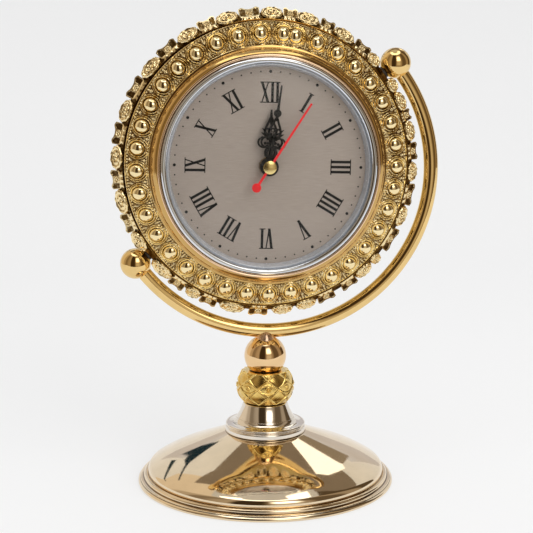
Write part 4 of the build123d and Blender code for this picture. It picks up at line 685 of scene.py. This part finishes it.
def knop():
    """Barrel with ridges along a diamond lattice, and an eye with a rosette in low diamonds."""
    height = np.linspace(KNOP_BOTTOM, KNOP_TOP, KNOP_ROWS)[:, None]
    turn = np.linspace(0, 2 * pi, KNOP_COLUMNS, endpoint=False)[None, :]
    share = np.clip(np.abs((height - KNOP_MIDDLE) / (KNOP_TOP - KNOP_MIDDLE + 0.3)), 0, 1)
    taper = np.where(height > KNOP_MIDDLE, KNOP_TAPER_ABOVE, KNOP_TAPER_BELOW)
    barrel = KNOP_END_RADIUS + KNOP_BELLY * (1 - share**taper) ** 0.7
    half_step = pi / KNOP_SIDES
    step_width = half_step * barrel
    across = (turn / half_step + 1) % 2 - 1
    up = (height - LATTICE_MIDDLE) / LATTICE_ROW
    across_mm, up_mm = across * step_width, up * LATTICE_ROW

    steepness = np.sqrt((1 / LATTICE_ROW) ** 2 + (1 / step_width) ** 2)
    lines = np.minimum(np.abs((up + across) % 2 - 1), np.abs((up - across) % 2 - 1)) / steepness
    relief = LATTICE_RIDGE[0] * ridge(lines, LATTICE_RIDGE[1])
    lid = np.abs(np.abs(up_mm) - EYE_HALF_HEIGHT * (1 - across**2))
    relief = np.maximum(relief, EYE_LID[0] * ridge(lid, EYE_LID[1]) * (np.abs(up) < 1))
    ball = np.hypot(across_mm, up_mm)
    petals = 0.75 + 0.25 * np.cos(EYE_PETALS * np.arctan2(up_mm, across_mm))
    rosette = EYE_ROSETTE[0] * ridge(ball - EYE_ROSETTE_RADIUS, EYE_ROSETTE[1]) * petals
    relief = np.maximum(relief, rosette + EYE_BALL[0] * dome(ball, EYE_BALL[1]))
    hatch = np.cos((turn * HATCH_LEAN + (height - KNOP_BOTTOM)) * 2 * pi / HATCH_PITCH)
    to_end = np.minimum(height - KNOP_BOTTOM, KNOP_TOP - height)
    rim = KNOP_RIM[0] * ridge(to_end - KNOP_RIM_PLACE, KNOP_RIM[1])
    total = relief + HATCH_HEIGHT * hatch * (lines > HATCH_CLEARANCE) + rim

    surface = round_stem(barrel + total, height + 0 * turn, turn)
    bottom, top = [turned([(ROD_HOLE, end), (KNOP_END_RADIUS, end)], steps=KNOP_COLUMNS)
                   for end in (KNOP_BOTTOM, KNOP_TOP)]
    # painted shade: hollows of the lattice and the ends get a lower raised share, so a darker
    # colour
    ends = np.full((2, KNOP_COLUMNS), 0.4)
    raised = np.concatenate([ends, np.clip(0.3 + 0.9 * total, 0, 1), ends])
    Form().grid(np.concatenate([bottom, surface, top[::-1]]), raised).piece(
        "knop_lattice", "stand", "cast_gold", ["knop"], 60.0)


def pivot_ball(centre, pole):
    """Sphere with an open mouth towards its pole direction."""
    pole = Vector(pole).normalized()
    side = pole.orthogonal().normalized()
    other = pole.cross(side)
    mouth = np.arcsin(PIVOT_BALL_MOUTH / PIVOT_BALL_RADIUS)
    tilt = np.linspace(mouth, pi, 96)[:, None, None]
    turn = np.linspace(0, 2 * pi, 192, endpoint=False)[None, :, None]
    ring = np.cos(turn) * np.array(side) + np.sin(turn) * np.array(other)
    outward = np.cos(tilt) * np.array(pole) + np.sin(tilt) * ring
    return np.array(centre) + PIVOT_BALL_RADIUS * outward


def stem_ball():
    seat = sqrt(STEM_BALL_RADIUS**2 - (STEM_BALL_CENTRE - STEM_BALL_BOTTOM) ** 2)
    profile = [(ROD_HOLE, STEM_BALL_BOTTOM), (seat, STEM_BALL_BOTTOM)]
    low = atan2(STEM_BALL_BOTTOM - STEM_BALL_CENTRE, seat)
    profile += [(STEM_BALL_RADIUS * cos(lift), STEM_BALL_CENTRE + STEM_BALL_RADIUS * sin(lift))
                for lift in np.linspace(low, pi / 2, 110)[1:]]
    Form().grid(turned(profile)).piece("ball", "stand", "rose_gold", ["stem_ball"])


def saddle():
    """Lug that rises from the ball and holds the bar; round in plan and at its top."""
    turn = np.linspace(0, 2 * pi, 96, endpoint=False)
    rows = []
    for share in np.linspace(0, 1, 24):
        lean = (1 - share**2.6) ** 0.5
        flare = LUG_FLARE * (1 - share) ** 4
        wide, deep = LUG_HALF_WIDTH * lean + flare, LUG_HALF_DEPTH * lean + flare * 0.6
        height = LUG_BOTTOM + LUG_HEIGHT * share
        rows.append(np.stack([wide * np.sin(turn), deep * np.cos(turn), 0 * turn + height],
                             axis=-1))
    Form().grid(np.array(rows)).piece(
        "lug", "stand", "rose_gold", ["arc_saddle"], finish="lug_rose")


def meridian():
    """Round bar of the arc and the two balls at its ends."""
    turn = np.radians(np.linspace(ARC_START, ARC_START + ARC_SWEEP, 300))[:, None]
    around = np.linspace(0, 2 * pi, 64, endpoint=False)[None, :]
    distance = ARC_RADIUS + ARC_TUBE_RADIUS * np.cos(around)
    bar = [ARC_CENTRE[0] + distance * np.cos(turn), ARC_TUBE_RADIUS * np.sin(around) + 0 * turn,
           ARC_CENTRE[1] + distance * np.sin(turn)]
    Form().grid(np.stack(bar, axis=-1)).piece(
        "arc_bar", "stand", "deep_gold", ["meridian_arc"], 38.0)
    tilt = radians(PIVOT_TILT)
    for side, level in ((1, "upper"), (-1, "lower")):
        centre = (side * PIVOT_BALL_DISTANCE * cos(tilt), 0.0,
                  HEAD_HEIGHT + side * PIVOT_BALL_DISTANCE * sin(tilt))
        pole = (-side * cos(tilt), 0.0, -side * sin(tilt))
        Form().grid(pivot_ball(centre, pole)).piece(
            f"{level}_finial", "stand", "deep_gold", [f"{level}_pivot_ball"], 38.0)


# Head

def front_ring():
    """Cone with a bead in two raised rings at every step, darts between, and pearls."""
    inward = np.array(RING_INNER) - RING_OUTER
    slant = hypot(*inward)
    inward /= slant
    outward = (-inward[1], inward[0])
    columns = BEAD_COUNT * RING_COLUMNS_PER_BEAD
    degrees_round = np.linspace(0, 360, columns, endpoint=False)[None, :]
    slope = np.linspace(0, slant, RING_ROWS)[:, None]
    radius = RING_OUTER[0] + inward[0] * slope

    centres = (BEAD_FIRST + BEAD_PITCH * np.arange(BEAD_COUNT))[:, None]
    offsets = (degrees_round - centres + 180) % 360 - 180
    nearest = np.argmin(np.abs(offsets), axis=0)
    offset = offsets[nearest, np.arange(columns)][None, :]
    second = np.sort(np.abs(offsets), axis=0)[1][None, :]
    to_middle = np.radians((second - np.abs(offset)) / 2) * radius
    off_centre = np.hypot(np.radians(offset) * radius, (slope - BEAD_SLOPE) / BEAD_STRETCH)
    relief = BEAD_HEIGHT * dome(off_centre, BEAD_RADIUS)
    for crest, width, height in BEAD_RINGS:
        relief = np.maximum(relief, height * ridge(off_centre - crest, width))

    beyond = np.abs(slope - BEAD_SLOPE) - DART_DISTANCE
    notches = 1 - DART_NOTCH + DART_NOTCH * np.cos(beyond * 2 * pi / DART_NOTCH_PITCH)
    dart = DART_HEIGHT * ridge(to_middle, DART_WIDTH) * ridge(beyond, DART_LENGTH)
    relief = np.maximum(relief, dart * notches)
    pearl_pitch = BEAD_PITCH / PEARLS_PER_BEAD
    pearl_turn = (degrees_round - BEAD_FIRST + pearl_pitch / 2) % pearl_pitch - pearl_pitch / 2
    pearl_offset = np.radians(pearl_turn) * radius
    for place, pearl, height in PEARL_ROWS:
        relief = np.maximum(relief, height * dome(np.hypot(pearl_offset, slope - place), pearl))
    outer_rim = RIM_PROUD * ridge(slope - OUTER_RIM, RIM_WIDTH)
    inner_rim = RIM_PROUD * (1 - ridge(np.clip(slope - INNER_RIM, 0, None), RIM_WIDTH))
    relief = np.maximum(relief, np.maximum(outer_rim, inner_rim))

    proud = RING_FLOOR + RING_CROWN * (1 - (2 * slope / slant - 1) ** 2) + relief
    depth = RING_OUTER[1] + inward[1] * slope + outward[1] * proud
    surface = round_head(radius + outward[0] * proud, depth, np.radians(degrees_round))
    outside = turned([(RING_OUTER[0] - RING_LAND, RING_REAR), (RING_OUTER[0], RING_REAR),
                      (RING_OUTER[0], RING_OUTER[1] + 0.1)], "head", columns)
    inside = turned([(RING_INNER[0], RING_INNER[1] + 0.3), (RING_INNER[0], RING_REAR),
                     (RING_INNER[0] + RING_LAND, RING_REAR)], "head", columns)
    # painted shade: recesses between the reliefs, the outer edge of the slope and the inner wall
    # take a darker share
    shares = np.clip(relief / CREST_RELIEF, 0, 1) * np.clip((slope - 0.35) / 0.4, 0, 1)
    raised = np.concatenate([np.full((3, columns), 0.5), shares, np.full((3, columns), 0.3)])
    Form().grid(np.concatenate([outside, surface, inside]), raised).piece(
        "beaded_ring", "head", "antique_gold", ["front_ring"], 70.0)


def on_flare(angle, across, along, proud):
    """Point of the gallery's flare: across and along it, and proud of it, round an angle."""
    slope = radians(FLARE_SLOPE)
    radius = FLARE_START[0] + along * cos(slope) + proud * sin(slope)
    depth = FLARE_START[1] + along * sin(slope) - proud * cos(slope)
    return round_head(radius, depth, radians(angle) + across / FLARE_MIDDLE)


def slab(form, angle, across, along, proud, wrap):
    """Relief with a flat back, closed round its edge."""
    top = on_flare(angle, across, along, proud)
    under = on_flare(angle, across, along, 0 * proud - GALLERY_THICKNESS)
    # painted shade: low relief, the back and the edges take a darker share
    form.grid(top, np.clip((proud - 0.1) / 0.8, 0, 1), wrap)
    form.grid(under[::-1], 0.3, wrap)
    for edge in [np.s_[-1]] if wrap else [np.s_[0], np.s_[-1], np.s_[:, 0], np.s_[:, -1]]:
        form.grid(np.stack([top[edge], under[edge]]), 0.5, wrap)


def medallion(form, angle, width):
    """Oval flower: two rows of petals round a dot."""
    reach = np.linspace(0.02, 1, 20)[:, None]
    turn = np.linspace(0, 2 * pi, 72, endpoint=False)[None, :]
    half_width = radians(width) / 2 * FLARE_MIDDLE
    scallop = 1 - 0.03 * (1 - np.cos(OUTER_PETALS * turn)) * reach**3
    across = half_width * reach * scallop * np.cos(turn)
    along = FLARE_LENGTH / 2 * (1 + reach * scallop * np.sin(turn) * 0.98)
    proud = MEDALLION_DOME * (1 - reach**2) + MEDALLION_DOT[0] * dome(reach, MEDALLION_DOT[1])
    for place, spread, height, petals, notch in PETAL_ROWS:
        notches = 1 - notch + notch * np.cos(petals * turn)
        proud = proud + height * ridge(reach - place, spread) * notches
    slab(form, angle, across, along, proud, True)


def bow(form, angle, width):
    """Rosette on a stem between two hollow corners."""
    side = np.linspace(-1, 1, 49)[None, :]
    up = np.linspace(0, 1, 31)[:, None]
    half_width = radians(width) / 2 * FLARE_MIDDLE
    across = half_width * side * (1 - 0.2 * ridge(up - 0.15, 0.15))
    along = FLARE_LENGTH * (0.84 + 0.16 * ridge(np.abs(side) - 0.7, 0.3)) * up
    pit = (np.clip((np.abs(side) - 0.38) / 0.1, 0, 1) * np.clip((0.9 - np.abs(side)) / 0.08, 0, 1)
           * np.clip((up - 0.34) / 0.1, 0, 1) * np.clip((0.9 - up) / 0.06, 0, 1))
    middle = np.hypot(across, along - BOW_ROSETTE_PLACE)
    petals = 0.75 + 0.25 * np.cos(BOW_PETALS * np.arctan2(along - BOW_ROSETTE_PLACE, across))
    rosette = BOW_ROSETTE[0] * ridge(middle - BOW_ROSETTE[1], BOW_ROSETTE[2]) * petals
    rosette += BOW_DOT[0] * dome(middle, BOW_DOT[1])
    stem = BOW_STEM[0] * ridge(up - BOW_STEM[1], BOW_STEM[2]) * (0.7 + 0.3 * np.cos(side * 9))
    plate = BOW_PLATE + stem - BOW_PIT * pit
    slab(form, angle, across, along, np.maximum(plate, rosette), False)


def gallery():
    """All flowers and bows on one flange."""
    form = Form()
    for angle, width in MEDALLIONS:
        medallion(form, angle, width)
    for angle, width in BOWS:
        bow(form, angle, width)
    flange = [(54.0, -6.0), (61.9, -6.0), (62.9, -5.0), (65.4, -3.0), (64.9, -2.4), (62.5, -4.3),
              (54.0, -4.9)]
    # the flange behind the flowers and bows takes the full recess colour: painted shade
    form.ring(rounded(flange, 0.2, True), "head", raised=0.0)
    form.piece("gallery", "head", "antique_gold", ["gallery_band"], 55.0, "gallery_gold")


def bezels():
    """Stepped gold bezel with painted shadow on its ledge and a painted highlight on its paler
    lip, silver bezel, and the seat under the glass.
    """
    ledge = [(45.0, -5.0), (51.85, -5.0), (51.85, -13.2), (51.05, -13.4)]
    band = [(51.0, -13.6)] + arc((50.95, -13.75), (50.6, -14.2), 0.1, 6)
    slope = arc((50.5, -14.85), (47.9, -18.0), 0.5, 18)
    bore = [(47.0, -17.7), (47.0, -11.25), (45.0, -11.25)]
    gold = rounded(ledge + band + slope + bore, 0.2, True)
    # painted shadow: the ledge behind the front ring takes bezel_gold's near-black recess colour
    shares = [0.0 if radius > 50.8 and depth > -13.0 else 0.8
              for radius, depth in gold + gold[:1]]
    Form().ring(gold, "head", raised=np.array(shares)[:, None]).piece(
        "gold_bezel", "head", "bezel_gold", ["bezel_ring"])
    # the lip's paler gold (finish bezel_lip) is a painted highlight
    lip = arc((48.2, -17.75), (47.05, -17.75), 0.5, 12) + [(47.05, -17.2), (48.0, -17.2)]
    Form().ring(lip, "head").piece("bezel_lip", "head", "bezel_gold", finish="bezel_lip")
    silver = [(46.95, -15.9), (45.9, -16.5), (44.5, -17.3), (44.4, -18.4), (44.9, -18.9),
              (45.9, -19.1), (46.6, -18.6), (46.95, -17.8)]
    Form().ring(rounded(silver, 0.28, True), "head").piece(
        "silver_bezel", "head", "bright_silver", ["inner_bezel"])
    seat = [(42.6, DIAL_FRONT), (46.9, DIAL_FRONT), (46.9, -15.4), (43.6, -16.6)]
    Form().ring(rounded(seat, 0.3, True), "head").piece(
        "glass_seat", "head", "bright_silver", ["dial_spacer"], finish="seat_silver")


def glass():
    """Domed glass of even thickness."""
    radius = (GLASS_RIM**2 + GLASS_RISE**2) / (2 * GLASS_RISE)
    centre = GLASS_RIM_DEPTH - GLASS_RISE + radius
    outer = radius + GLASS_THICKNESS
    front = [(outer * sin(t), centre - outer * cos(t))
             for t in np.linspace(0, np.arcsin(GLASS_RIM / outer), 40)]
    back = [(radius * sin(t), centre - radius * cos(t))
            for t in np.linspace(np.arcsin(GLASS_RIM / radius), 0, 40)]
    Form().grid(turned(front + back, "head")).piece("dome_glass", "head", "clear_glass", ["glass"])


# Dial print

def placed(outline, angle):
    """Outline given upright over the centre, turned clockwise."""
    turn = radians(angle)
    return [(x * cos(turn) + z * sin(turn), z * cos(turn) - x * sin(turn)) for x, z in outline]


def ink(form, outline, angle):
    form.prism(placed(outline, angle), DIAL_FRONT - PRINT_THICKNESS, DIAL_FRONT)


def numeral(form, text, angle):
    """Letters side by side with shared serif lines at the top and the foot."""
    low, high = NUMERAL_INNER, NUMERAL_OUTER
    total = sum(LETTERS[letter][0] for letter in text)
    left = -total / 2
    for letter in text:
        width, strokes = LETTERS[letter]
        middle, reach = left + width / 2, width / 2 - STROKE_INSET
        for top, foot, thickness in strokes:
            top, foot, half = middle + top * reach, middle + foot * reach, thickness / 2
            ink(form, [(top - half, high), (top + half, high), (foot + half, low),
                       (foot - half, low)], angle)
        left += width
    half = SERIF_HEIGHT / 2
    for level in (low + half, high - half):
        start, end = -total / 2, total / 2
        if level < (low + high) / 2:
            pointed = LETTERS["V"][0] - SERIF_OVERLAP
            start += pointed if text[0] == "V" else 0
            end -= pointed if text[-1] == "V" else 0
        if end - start > 1.0:
            start, end = start - SERIF_OVERHANG, end + SERIF_OVERHANG
            ink(form, [(start, level - half), (end, level - half), (end, level + half),
                       (start, level + half)], angle)


def dial_print():
    form = Form()
    for number, text in enumerate(NUMERALS):
        numeral(form, text, DIAL_TURN + 30 * number)
    for number in range(60):
        radius = HOUR_DOT_RADIUS if number % 5 == 0 else MINUTE_DOT_RADIUS
        ink(form, loop((0, DOT_CIRCLE), radius, 0, 360, DOT_SIDES), DIAL_TURN + 6 * number)
    form.piece("numerals", "head", "hand_black", crease=38.0, finish="print_ink")


# Hands

class Hand(Form):
    """Flat hand, drawn upright over the centre and turned to its angle."""

    def __init__(self, angle, back, thickness=HAND_THICKNESS):
        super().__init__()
        self.angle, self.back, self.thickness = angle, back, thickness

    def plate(self, outline, proud=0.0):
        back = self.back + proud
        self.prism(placed(outline, self.angle), back - (self.thickness + 2 * proud), back)

    def ribbon(self, points, widths):
        """Stroke along points whose width runs from the first value to the last."""
        points = np.array(points, float) * (1.0, HAND_STRETCH)
        along = np.gradient(points, axis=0)
        along /= np.hypot(along[:, 0], along[:, 1])[:, None]
        left = np.stack([-along[:, 1], along[:, 0]], axis=1)
        places, knots = np.linspace(0, 1, len(points)), np.linspace(0, 1, len(widths))
        half = np.interp(places, knots, widths)[:, None] / 2
        first, second = points + left * half, points - left * half
        for n in range(len(points) - 1):
            self.plate([tuple(first[n]), tuple(first[n + 1]), tuple(second[n + 1]),
                        tuple(second[n])])

    def disc(self, centre, radius, proud=0.0):
        self.plate(loop((centre[0], centre[1] * HAND_STRETCH), radius, 0, 360, 40), proud)

    def scrollwork(self):
        """Hub, small loops, pair of rings, spikes and spire that hour and minute hand share."""
        hub_turns = np.linspace(0, 2 * pi, 48)
        self.ribbon([(2.85 * cos(t), 2.85 * sin(t)) for t in hub_turns], [2.3])
        strokes = (
            (((0.5, 3.8), (1.9, 5.0), (2.1, 6.6), (1.5, 8.2), (0.5, 9.0)), (1.0, 0.8, 0.9)),
            (loop((2.95, 10.8), 2.2, -150, 300), (0.9, 0.85, 0.6)),
            (((0.3, 12.4), (1.6, 13.4), (2.9, 14.4), (4.0, 15.1)), (1.6, 1.2, 0.25)),
            (((2.2, 14.2), (2.5, 15.8), (1.9, 17.8), (1.0, 19.8), (0.4, 21.6)), (1.2, 1.0, 0.9)),
            (((2.3, 16.0), (3.1, 16.4), (3.7, 17.0)), (1.0, 0.25)),
            (loop((1.0, 16.2), 0.8, 20, 230, 16), (0.6, 0.4)),
        )
        for side in (1, -1):
            for points, widths in strokes:
                self.ribbon([(side * x, z) for x, z in points], widths)
            self.disc((side * 2.2, 10.4), 0.65)
        self.ribbon([(0, 3.6), (0, 9.0), (0, 12.8)], [1.2, 0.9, 1.8])
        self.ribbon([(0, 12.6), (0, 15.0)], [2.6, 1.0])


def hour_hand():
    hand = Hand(HOUR_ANGLE, HOUR_HAND_BACK)
    hand.scrollwork()
    hand.ribbon([(0, 18.6), (0, 21.4), (0, 25.2)], [0.7, 1.3, 0.7])
    hand.piece("hour_scroll", "hour", "hand_black", ["hour_hand"], 38.0)


def minute_hand():
    hand = Hand(MINUTE_ANGLE, MINUTE_HAND_BACK)
    hand.scrollwork()
    hand.ribbon([(0, 20.4), (0, 24.0)], [1.0, 1.6])
    hand.disc((0, 23.9), 1.65, DISC_PROUD)
    hand.ribbon([(0, 25.0), (0, 28.0), (0, 36.2)], [1.3, 1.0, 0.7])
    hand.piece("minute_scroll", "minute", "hand_black", ["minute_hand"], 38.0)


def second_hand():
    """Red hand with its counterweight, and the brass cap on the hub."""
    hand = Hand(SECOND_ANGLE, SECOND_HAND_BACK, SECOND_HAND_THICKNESS)
    hand.ribbon([(0, 0.0), (0, 33.4)], [1.1, 0.85])
    hand.ribbon([(0, 0.0), (0, COUNTERWEIGHT_PLACE)], [1.1, 1.1])
    hand.disc((0, 0), 2.4, DISC_PROUD)
    hand.disc((0, COUNTERWEIGHT_PLACE), 2.0, DISC_PROUD)
    hand.piece("sweep_hand", "seconds", "hand_red", ["second_hand"], 38.0)
    front = SECOND_HAND_BACK - SECOND_HAND_THICKNESS
    rim = [(0.6, front), (2.85, front), (2.9, front - 0.3)]
    cap = rounded(rim + arc((2.85, front - 0.45), (0.0, front - 0.95), 0.12), 0.12)
    Form().grid(turned(cap, "head", 96)).piece(
        "centre_cap", "seconds", "cap_brass", ["second_hand_cap"], 60.0)


def bush_nut():
    """Round nut that hides behind the hands' hubs."""
    profile = [(3.1, DIAL_FRONT), (3.95, DIAL_FRONT), (3.95, DIAL_FRONT - 1.5),
               (3.1, DIAL_FRONT - 1.8)]
    Form().ring(rounded(profile, 0.2, True), "head", 64).piece(
        "round_nut", "head", "brass_plain", ["bush_nut"])


# The rest of the solids keep their own shapes

def dress_nodes():
    """Gives every solid its finish, and softens the edges of those that show."""
    slots = {part["node"]: part["material_slot"] for part in frame["record"]["subparts"]}
    for name, node in frame["nodes"].items():
        node.data.materials.clear()
        node.data.materials.append(finishes[slots[name]])
        if not node.hide_render:
            edge = node.modifiers.new("edge", "BEVEL")
            edge.width = EDGE_WIDTH * MM
            edge.segments = EDGE_SEGMENTS
            edge.limit_method = "ANGLE"
            edge.angle_limit = radians(EDGE_ANGLE)
            edge.harden_normals = True


# Studio

def direction(azimuth, elevation):
    """Unit vector from the clock; azimuth 0 is the front, positive to the dial's right."""
    turn, lift = radians(azimuth), radians(elevation)
    return Vector((sin(turn) * cos(lift), -cos(turn) * cos(lift), sin(lift)))


def place(thing, azimuth, elevation, distance):
    """Puts a lamp or the camera round the clock, looking at it."""
    way = direction(azimuth, elevation)
    thing.location = Vector((0, 0, MM * CAMERA_AIM)) + way * distance
    thing.rotation_euler = way.to_track_quat("Z", "Y").to_euler()


def softbox(name, azimuth, elevation, distance, width, height, radiance):
    """Lamp that lights matt surfaces; mirrors don't show it."""
    light = bpy.data.lights.new(name, "AREA")
    light.shape = "RECTANGLE"
    light.size, light.size_y = width, height
    light.energy = radiance * pi * width * height
    lamp = linked(name, light)
    place(lamp, azimuth, elevation, distance)
    lamp.visible_glossy = False


def card(name, distance, corners, faces, colours):
    """Glowing surface that only metal and glass mirror, with a colour at every corner."""
    material, tree, surface = bare_material(name)
    tone = tree.nodes.new("ShaderNodeAttribute")
    tone.attribute_name = "tone"
    glow = tree.nodes.new("ShaderNodeEmission")
    tree.links.new(tone.outputs["Color"], glow.inputs["Color"])
    tree.links.new(glow.outputs["Emission"], surface)
    middle = Vector((0, 0, MM * CAMERA_AIM))
    mesh = bpy.data.meshes.new(name)
    mesh.from_pydata([middle + direction(*corner) * distance for corner in corners], [], faces)
    tones = mesh.attributes.new("tone", "FLOAT_COLOR", "POINT")
    tones.data.foreach_set("color", [value for colour in colours for value in (*colour, 1)])
    mesh.materials.append(material)
    flag = linked(name, mesh)
    flag.visible_camera = False
    flag.visible_diffuse = False
    flag.visible_transmission = False
    flag.visible_shadow = False


def sheet(name, distance, turns, heights, colour_at):
    """Card bent round the clock; its colour is one, or a function of azimuth and elevation."""
    corners = [(turn, height) for turn in turns for height in heights]
    count = len(heights)
    faces = [(n, n + count, n + count + 1, n + 1)
             for n in range(count * (len(turns) - 1)) if (n + 1) % count]
    colours = [colour_at(*corner) if callable(colour_at) else colour_at for corner in corners]
    card(name, distance, corners, faces, colours)


def wall_colour(turn, height):
    """Warm walls, light and dark in turn, with a soft window and its lit sill."""
    light = float(np.interp(turn, *zip(*WALL_LIGHT)))
    colour = (light, 0.88 * light**1.1, 0.72 * light**1.25)
    column = float(np.interp(turn, WINDOW_TURNS, IN_AND_OUT))
    for lit, levels in WINDOW_BANDS:
        share = column * float(np.interp(height, levels, IN_AND_OUT))
        colour = [(1 - share) * wall + share * glow for wall, glow in zip(colour, lit)]
    return colour


def floor():
    """Pale sweep: level round the clock, rising in a wide curve behind it."""
    profile = [(SWEEP_FRONT, 0.0), SWEEP_BEND] + arc(SWEEP_BEND, SWEEP_BACK, -0.17, 24)[1:]
    profile.append((SWEEP_BACK[0], SWEEP_TOP))
    points = [(side, depth, height) for depth, height in profile for side in SWEEP_SIDES]
    faces = [(n, n + 1, n + 3, n + 2) for n in range(0, len(points) - 2, 2)]
    mesh = bpy.data.meshes.new("sweep")
    mesh.from_pydata(points, [], faces)
    mesh.shade_smooth()

    material, tree, surface = bare_material("sweep")
    matt = tree.nodes.new("ShaderNodeBsdfDiffuse")
    matt.inputs["Color"].default_value = SWEEP_COLOUR
    position = tree.nodes.new("ShaderNodeSeparateXYZ")
    tree.links.new(tree.nodes.new("ShaderNodeTexCoord").outputs["Object"],
                   position.inputs["Vector"])
    # the glow fades with height: painted shade, darker towards the top of the backdrop
    glow = tree.nodes.new("ShaderNodeEmission")
    tree.links.new(remap(tree, position.outputs["Z"], 0.0, SWEEP_GLOW_RISE, SWEEP_GLOW_LOW,
                         SWEEP_GLOW_HIGH), glow.inputs["Strength"])
    path = tree.nodes.new("ShaderNodeLightPath")
    seen = path.outputs["Is Camera Ray"]
    for kind in ("Is Glossy Ray", "Is Transmission Ray"):
        seen = calculate(tree, "MAXIMUM", seen, path.outputs[kind])
    share = calculate(tree, "MULTIPLY", seen, SWEEP_GLOW_SHARE)
    mix_shaders(tree, share, matt.outputs["BSDF"], glow.outputs["Emission"], surface)
    mesh.materials.append(material)
    sweep = linked("sweep", mesh)


def studio():
    room = bpy.data.worlds.new("room")
    room.use_nodes = True
    room.node_tree.nodes["Background"].inputs["Color"].default_value = WORLD_LIGHT
    bpy.context.scene.world = room
    floor()
    for lamp in LAMPS:
        softbox(*lamp)
    sheet("walls", 1.6, np.arange(-150, 119, 2),
          (-22, -16, -6, 8, 14, 20, 24, 33, 42, 48, 54, 62), wall_colour)
    sheet("ceiling", 1.3, np.arange(-120, 121, 12), (66, 78), CEILING_LIGHT)
    sheet("back_right", 1.05, np.arange(116, 181, 8), (36, 62), BACK_WALL)
    sheet("back_left", 1.05, np.arange(180, 221, 8), (47, 60), BACK_WALL)
    sheet("pale_back", 1.1, np.arange(146, 199, 4), (-6, 4, 16, 24),
          lambda turn, height: PALE_BACK[height > PALE_BACK_STEP])
    for name, colour, corners in CARDS:
        card(name, CARD_DISTANCE, corners, [range(len(corners))], [colour] * len(corners))


def camera():
    lens = bpy.data.cameras.new("camera")
    lens.lens = CAMERA_LENS
    lens.sensor_width = 36.0
    lens.sensor_fit = "HORIZONTAL"
    lens.shift_x = CAMERA_SHIFT
    viewer = linked("camera", lens)
    place(viewer, CAMERA_AZIMUTH, CAMERA_ELEVATION, CAMERA_DISTANCE * MM)
    bpy.context.scene.camera = viewer


base()
collar_and_neck()
knop()
stem_ball()
saddle()
meridian()
front_ring()
gallery()
bezels()
glass()
dial_print()
hour_hand()
minute_hand()
second_hand()
bush_nut()
dress_nodes()
studio()
camera()
bpy.context.scene.view_settings.view_transform = "Standard"
